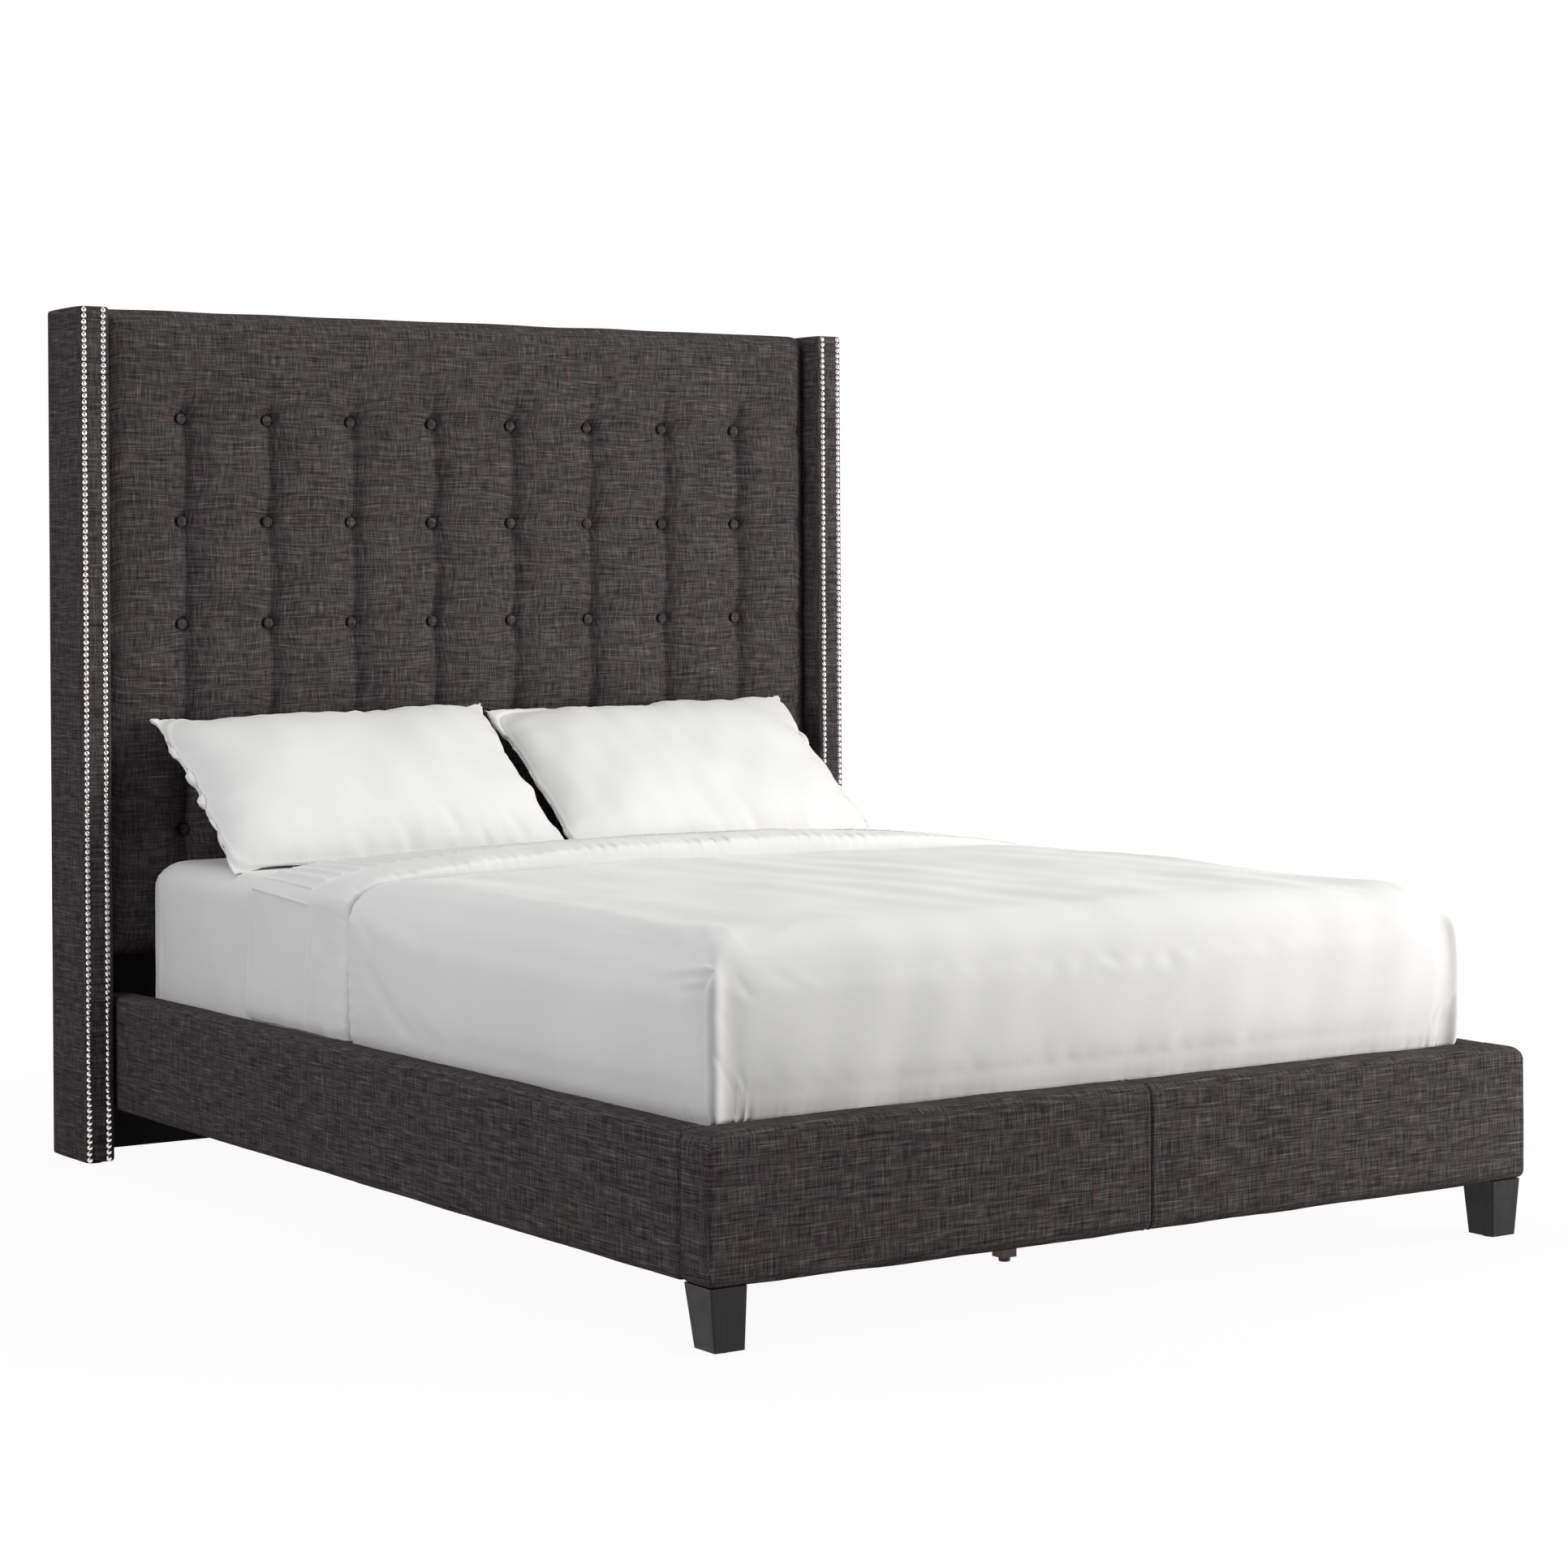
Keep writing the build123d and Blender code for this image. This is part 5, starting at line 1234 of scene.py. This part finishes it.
class BED_OT_duvet(bpy.types.Operator):
    """Spread the duvet: puffed sides, a folded corner at each side of the foot, and a gathered hem"""
    bl_idname = "bed.duvet"
    bl_label = "Duvet"

    def execute(self, context):
        clothes = context.scene.bed_clothes
        low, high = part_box("duvet")
        top = high.z - 0.004
        lay = Drape(high.x, low.y, high.y - 0.0016, corner=0.080, shoulder=0.078, top=top, hem=clothes.hem,
                    tuck_in=0.008, tuck_down=0.008, square=3.6, square_below=6.0)
        reach_x = lay.inner_x + lay.reach
        length = lay.head - lay.inner_foot + lay.reach
        rows_along = np.concatenate((
            np.array([0, 0.0003, 0.0007, 0.0014, 0.0026, 0.0042, 0.0062, 0.0085, 0.0115, 0.016, 0.024]),
            np.linspace(0.035, length - 0.33, 58), np.linspace(length - 0.33, length, 56)[1:]))

        def shape(u, v):
            across = (2 * u - 1) * reach_x
            along = np.interp(v, np.linspace(0, 1, len(rows_along)), rows_along)
            at, outward, run = lay.lay(across, along)
            down = np.clip((lay.top - at[:, 2]) / (lay.top - lay.hem), 0, 1)
            level = 1 - ease(run, lay.flat, lay.flat + lay.arc)
            # The foot end of the top lies a little lower, and the middle is crowned
            at[:, 2] -= 0.0062 * ease(-at[:, 1], 0.15, 1.0) * (1 - down) ** 1.5
            at[:, 2] += 0.009 * (1 - np.abs(at[:, 0] / lay.half) ** 2.4) * level - 0.004 * level
            # The head end turns down beside the roll
            lip = np.clip(1 - along / 0.0085, 0, 1)
            drop = 0.0085 * (1 - np.sqrt(1 - lip ** 2)) + 0.0105 * (along < 0.0002)
            at[:, 2] -= drop * level
            at[:, :2] -= outward * (drop * 0.8 * (1 - level))[:, None]
            puff = 0.0055 * np.sin(pi * np.clip(down * 0.93, 0, 1)) ** 1.3 * (1 - 0.6 * np.exp(-along / 0.04))
            at[:, :2] += outward * puff[:, None]
            return at, np.column_stack((across, along))
        piece = cloth_grid("duvet_cotton", 176, len(rows_along) - 1, shape)
        face_out(piece)
        at = read_points(piece)
        hem_held = 1 - ease(at[:, 2], clothes.hem + 0.004, clothes.hem + 0.06)
        head_held = 1 - ease(high.y - at[:, 1], 0.01, 0.05)
        held = np.clip(np.maximum(hem_held, head_held), 0, 1)
        simulate(piece, held, pressure=0.45, cap=0.004, shrink=-0.001, frames=14)
        apply_modifier(piece, "SUBSURF", levels=1, render_levels=1)
        at, normal, weave = read_points(piece), read_normals(piece), read_weave(piece)
        flat_at, outward, run = lay.lay(weave[:, 0], weave[:, 1])
        side = np.sign(at[:, 0])
        back = flat_at[:, 1] - lay.foot
        rise = at[:, 2]
        wall = ease(np.abs(flat_at[:, 0]), lay.half - 0.085, lay.half - 0.030)
        # Folded corner: the side's cloth goes in behind an upright roll of the foot's cloth
        line = back - 0.012 - 0.028 * ease(rise, 0.545, 0.592)
        narrow = 0.30 * (1 - ease(rise, 0.572, 0.596)) * np.exp(-np.maximum(line, 0) / 0.016)
        broad = 0.70 * (1 - ease(rise, 0.46, 0.60)) * np.exp(-np.maximum(line, 0) / 0.095)
        lip = np.where(line > 0, 1, 1 - np.sqrt(1 - np.clip(1 + line / 0.008, 0, 1) ** 2))
        pocket_depth = 0.0185
        inward = wall * pocket_depth * lip * (narrow + broad) * (0.75 + 0.25 * ease(rise, 0.36, 0.5))
        push = np.zeros_like(rise)
        # Short folds that run from the pocket along the side
        for height, width, reach, size in ((0.556, 0.0055, 0.070, 0.0046), (0.538, 0.006, 0.05, 0.0034)):
            sag = height - 0.12 * np.maximum(line, 0)
            ridge = np.exp(-((rise - sag) / width) ** 2) - 0.8 * np.exp(-((rise - sag + 0.012) / width) ** 2)
            push += size * ridge * wall * np.exp(-(np.maximum(line, 0) / reach) ** 2) * (line > 0)
        # Folds on the top that run from the corner up the bed
        top_fold = (1 - wall) * ease(rise, 0.565, 0.592)
        for start, lean, size in ((0.045, 0.55, 0.0016), (0.085, 0.30, 0.0012)):
            off = (lay.half - np.abs(flat_at[:, 0])) - start - lean * np.maximum(back - 0.05, 0)
            push += size * top_fold * np.exp(-(off / 0.009) ** 2) * np.exp(-(np.maximum(back - 0.05, 0) / 0.12) ** 2)
        # Gathers along the hem
        edge = np.exp(-np.maximum(rise - clothes.hem, 0) / 0.016)
        along_hem = np.where(wall > 0.5, at[:, 1], at[:, 0] + 3)
        gather = np.sin(along_hem * 2 * pi / 0.043 + 2.2 * np.sin(along_hem * 13)) + 0.6 * np.sin(
            along_hem * 2 * pi / 0.023 + 1)
        near_corner = np.exp(-np.hypot((lay.half - np.abs(flat_at[:, 0])) / 0.12, back / 0.16) ** 2)
        push -= (0.0006 + 0.0013 * near_corner) * edge * np.abs(gather) * (rise < clothes.hem + 0.08)
        # Pleats from the head edge
        pleat = np.abs(np.sin(weave[:, 0] * pi / 0.031 + 1.3 * np.sin(weave[:, 0] * 7))) ** 4
        push -= 0.0022 * pleat * np.exp(-weave[:, 1] / 0.018)
        # Broad soft waves of the filling
        push += 0.0020 * waves(flat_at, 0.42, 83) + 0.0011 * waves(flat_at * (1, 1, 0.6), 0.15, 85)
        at = at + normal * push[:, None]
        # The upright roll stands out of the foot's face
        from_corner = lay.half - np.abs(flat_at[:, 0])
        upright = (1 - ease(back, 0.03, 0.06)) * (1 - ease(rise, 0.56, 0.60)) * ease(from_corner, 0.0, 0.008)
        at[:, 1] -= 0.0065 * upright * (np.exp(-((from_corner - 0.018) / 0.014) ** 2)
                                        - 0.25 * np.exp(-((from_corner - 0.050) / 0.018) ** 2))
        level_in = np.column_stack((side, np.zeros_like(side), np.zeros_like(side)))
        share = ease(rise, 0.535, 0.575)[:, None]
        at -= (level_in * (1 - share) + normal * share) * inward[:, None]
        write_points(piece, at)
        apply_modifier(piece, "SOLIDIFY", thickness=0.0075, offset=-1)
        smooth(piece, 60)
        hand_in(piece, cotton(), "white_cotton", "duvet", "duvet")
        return {"FINISHED"}


class BED_OT_pillows(bpy.types.Operator):
    """Stuff both pillows and lean them on the headboard"""
    bl_idname = "bed.pillows"
    bl_label = "Pillows"

    def execute(self, context):
        clothes = context.scene.bed_clothes
        for side, fold_rise, seed in (("left", 0.0100, 91), ("right", 0.0048, 96)):
            low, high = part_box(f"pillow_{side}")
            width = high.x - low.x
            tall = 0.476
            upper, lower = 0.080, 0.043

            def shape(u, v):
                p = np.sin((2 * u - 1) * pi / 2)
                front = v <= 0.5
                q = np.where(front, 2 * v, 2 - 2 * v)
                r = np.sin((2 * q - 1) * pi / 2)
                across = (1 - np.abs(p) ** 3.4) ** 0.52
                up = (1 - np.abs(r) ** 2.6) ** 0.58
                ears = 1 - 0.75 * np.exp(-((1 - np.abs(p)) * 9) - ((1 - np.abs(r)) * 7))
                thick = np.where(front, across, (1 - np.abs(p) ** 9) ** 0.5) * up * ears
                wavy_a = 0.0022 * np.sin(r * 9 + seed) + 0.0012 * np.sin(r * 21 + 2 * seed * np.sign(p))
                wavy_b = 0.0022 * np.sin(p * 8 + seed * 1.7) + 0.0012 * np.sin(p * 23 + seed)
                a = p * (width / 2 - 0.014 * (1 - r ** 2) ** 0.7) + np.sign(p) * np.abs(p) ** 8 * wavy_a * (1 - r ** 8)
                b = (tall / 2 + r * (tall / 2 - 0.016 * (1 - p ** 2) ** 0.7)
                     + np.sign(r) * np.abs(r) ** 8 * wavy_b * (1 - p ** 8))
                n = np.where(front, upper, -lower) * thick
                return np.column_stack((a, b, n)), np.column_stack((a, b + np.where(front, 0, 1)))
            piece = cloth_grid(f"pillow_cotton_{side}", 72, 96, shape)
            close_up(piece)
            at = read_points(piece)
            held = (np.abs(at[:, 2]) < 0.0005) * 0.9
            simulate(piece, held, pressure=1.3, cap=0.007, shrink=-0.03, frames=18, stiffness=8)
            apply_modifier(piece, "SUBSURF", levels=1, render_levels=1)
            at, normal = read_points(piece), read_normals(piece)
            p, r = at[:, 0] / (width / 2), (at[:, 1] - tall / 2) / (tall / 2)
            # Creases that run in from the seams, and a few long ones near a lower corner
            from_x, from_y = (1 - np.abs(p)) * width / 2, (1 - np.abs(r)) * tall / 2
            rim_x, rim_y = np.exp(-from_x / 0.05), np.exp(-from_y / 0.05)
            pleat_x = waves(at * (0.25, 1, 0.2), 0.055, seed)
            pleat_y = waves(at * (1, 0.25, 0.2), 0.06, seed + 1)
            push = 0.0026 * (rim_x * pleat_x + rim_y * pleat_y) * (1 - 0.7 * rim_x * rim_y)
            push += 0.0034 * waves(at, 0.24, seed + 2) + 0.0016 * waves(at * (1, 0.5, 1), 0.09, seed + 3)
            low_folds = np.exp(-(((p - 0.30) / 0.40) ** 2 + ((r + 0.84) / 0.24) ** 2))
            lean = at * (1, 0.3, 0) + np.column_stack((0.35 * at[:, 1], 0 * p, 0 * p))
            crease = np.maximum(waves(lean, 0.075, seed + 5) + 0.6 * waves(lean, 0.04, seed + 6) - 0.2, -0.4)
            push += fold_rise * low_folds * crease * (at[:, 2] > 0)
            off_seam = np.abs(at[:, 2])
            push += 0.0016 * np.exp(-(off_seam / 0.0016) ** 2) - 0.0022 * np.exp(-((off_seam - 0.0055) / 0.0028) ** 2)
            at = at + normal * push[:, None]
            tilt = clothes.pillow_lean
            seat_y, seat_z = low.y + 0.026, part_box("fitted_sheet")[1].z + 0.0015
            up_y, up_z = cos(tilt), sin(tilt)
            place_y = seat_y + at[:, 1] * up_y - at[:, 2] * up_z
            place_z = seat_z + 0.004 + at[:, 1] * up_z + at[:, 2] * up_y
            # The outer end sinks a little, over the mattress's round shoulder
            place_z -= 0.014 * np.clip(0.5 - p, 0, 1.5) / 1.5
            floor = seat_z - 0.010 * ease(-p, 0.80, 1.0) * (side == "left")
            # It flattens softly over this height where it lies on the sheet
            soft = 0.012
            place_z = np.where(
                place_z < floor + soft, floor + soft * np.exp((place_z - floor - soft) / soft), place_z)
            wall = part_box("headboard_pad")[0].y + 0.0075
            place_y = np.minimum(place_y, wall)
            middle = (low.x + high.x) / 2 - (0.007 if side == "right" else 0.0)
            write_points(piece, np.column_stack((at[:, 0] + middle, place_y, place_z)))
            face_out(piece)
            smooth(piece, 70)
            hand_in(piece, cotton(), "white_cotton", f"pillow_{side}", f"pillow_{side}")
        return {"FINISHED"}


# ---- Stage ----

class BED_OT_stage(bpy.types.Operator):
    """Set the camera, the lamps, the world and the pale floor"""
    bl_idname = "bed.stage"
    bl_label = "Stage"

    def execute(self, context):
        stage = context.scene.bed_stage
        scene = context.scene
        turn, tilt, roll = stage.turn, stage.tilt, stage.roll
        ahead = Vector((sin(turn) * cos(tilt), cos(turn) * cos(tilt), -sin(tilt)))
        right = Vector((cos(turn), -sin(turn), 0))
        up = right.cross(ahead)
        right, up = cos(roll) * right + sin(roll) * up, cos(roll) * up - sin(roll) * right
        deselect_all()
        bpy.ops.object.camera_add(location=stage.eye)
        camera = named(context.object, "photo_camera")
        camera.rotation_euler = Matrix((right, up, -ahead)).transposed().to_euler()
        camera.data.lens = stage.lens
        camera.data.sensor_width = 36
        camera.data.shift_y = stage.shift
        camera.data.clip_end = 100
        scene.camera = camera

        def lamp(name, place, aim, size, power, colour):
            bpy.ops.object.light_add(type="AREA", location=place)
            light = named(context.object, name)
            light.rotation_euler = (Vector(place) - Vector(aim)).to_track_quat("Z", "Y").to_euler()
            light.data.shape = "DISK"
            light.data.size = size
            light.data.energy = power
            light.data.color = colour
        lamp("key_light", (4.5, -3.6, 3.95), aim=(0, 0, 0.7), size=3.2, power=stage.key, colour=(1, 0.99, 0.975))
        lamp("overhead_light", (-0.6, 0.8, 5.0), aim=(-0.3, 0.0, 0.6), size=3.6, power=stage.overhead, colour=(1, 1, 1))
        lamp("front_light", (3.8, -3.3, 1.0), aim=(0.2, 0.6, 0.9), size=1.3, power=stage.front, colour=(1, 0.985, 0.97))
        lamp("fill_light", (-4.5, -0.6, 2.2), aim=(-0.8, -0.2, 0.4), size=3.0, power=stage.fill, colour=(0.98, 0.99, 1))

        world = bpy.data.worlds.new("pale_room")
        world.use_nodes = True
        scene.world = world
        room = Nodes(world.node_tree)
        plain = room.tree.nodes["Background"]
        plain.inputs["Color"].default_value = (1, 1, 1, 1)
        plain.inputs["Strength"].default_value = stage.sky
        shown = room.add("Background", Color=(1, 1, 1, 1), Strength=1)
        self.mix_by_ray(room, plain.outputs[0], shown, "World Output", 1.0, gloss=False)

        bpy.ops.mesh.primitive_plane_add(size=60)
        floor = named(context.object, "pale_floor")
        ground = bpy.data.materials.new("pale ground")
        ground.use_nodes = True
        made = Nodes(ground.node_tree)
        matt = made.tree.nodes["Principled BSDF"]
        matt.inputs["Base Color"].default_value = (0.42, 0.42, 0.42, 1)
        matt.inputs["Roughness"].default_value = 0.9
        # White from a few metres on, where the shown white is raised as painted light where the lamps fall off, and a
        # hair darker near the bed as a painted shade, where its real shadow also shows
        away = made.add("VectorMath", "Value", {"operation": "LENGTH"}, i0=made.add("TexCoord", "Object"))
        reach = made.add("MapRange", Value=away, From_Min=1.6, From_Max=5.0, To_Min=1.07, To_Max=1.19)
        white = made.add("Emission", Strength=reach)
        self.mix_by_ray(made, matt.outputs[0], white, "Material Output", 0.88)
        floor.data.materials.append(ground)
        scene.view_settings.view_transform = "Standard"
        return {"FINISHED"}

    def mix_by_ray(self, made, lit, shown, output, share, gloss=True):
        """Shows one shader to the camera, and in gloss if wanted, and the other to the light."""
        rays = made.tree.nodes.new("ShaderNodeLightPath")
        seen = made.maths(
            "MAXIMUM", rays.outputs["Is Camera Ray"], rays.outputs["Is Glossy Ray"] if gloss else 0.0)
        mixed = made.add("MixShader", i0=made.maths("MULTIPLY", seen, share), i1=lit, i2=shown)
        made.tree.links.new(mixed, made.tree.nodes[output].inputs["Surface"])


OPERATORS = (
    BED_OT_stage, BED_OT_frame_parts, BED_OT_headboard_pad, BED_OT_headboard_buttons, BED_OT_wings,
    BED_OT_wing_nails, BED_OT_rails, BED_OT_footboard, BED_OT_mattress, BED_OT_fitted_sheet,
    BED_OT_flat_sheet, BED_OT_duvet, BED_OT_pillows,
)
GROUPS = {
    "bed_finishes": BedFinishes, "bed_tufting": BedTufting, "bed_nails": BedNails, "bed_clothes": BedClothes,
    "bed_stage": BedStage,
}


class VIEW3D_PT_bed(bpy.types.Panel):
    """Lists the bed's pieces and their sizes"""
    bl_label = "Wingback Bed"
    bl_idname = "VIEW3D_PT_bed"
    bl_space_type = "VIEW_3D"
    bl_region_type = "UI"
    bl_category = "Bed"

    def draw(self, context):
        for name, group in GROUPS.items():
            box = self.layout.box()
            for prop in group.__annotations__:
                box.prop(getattr(context.scene, name), prop)
        for operator in OPERATORS:
            self.layout.operator(operator.bl_idname)


def register():
    for name, group in GROUPS.items():
        bpy.utils.register_class(group)
        setattr(bpy.types.Scene, name, PointerProperty(type=group))
    for kind in (*OPERATORS, VIEW3D_PT_bed):
        bpy.utils.register_class(kind)


def unregister():
    for kind in reversed((*OPERATORS, VIEW3D_PT_bed)):
        bpy.utils.unregister_class(kind)
    for name, group in reversed(GROUPS.items()):
        delattr(bpy.types.Scene, name)
        bpy.utils.unregister_class(group)


def main():
    register()
    for operator in OPERATORS:
        group, name = operator.bl_idname.split(".")
        getattr(getattr(bpy.ops, group), name)()


if __name__ == "__main__":
    main()
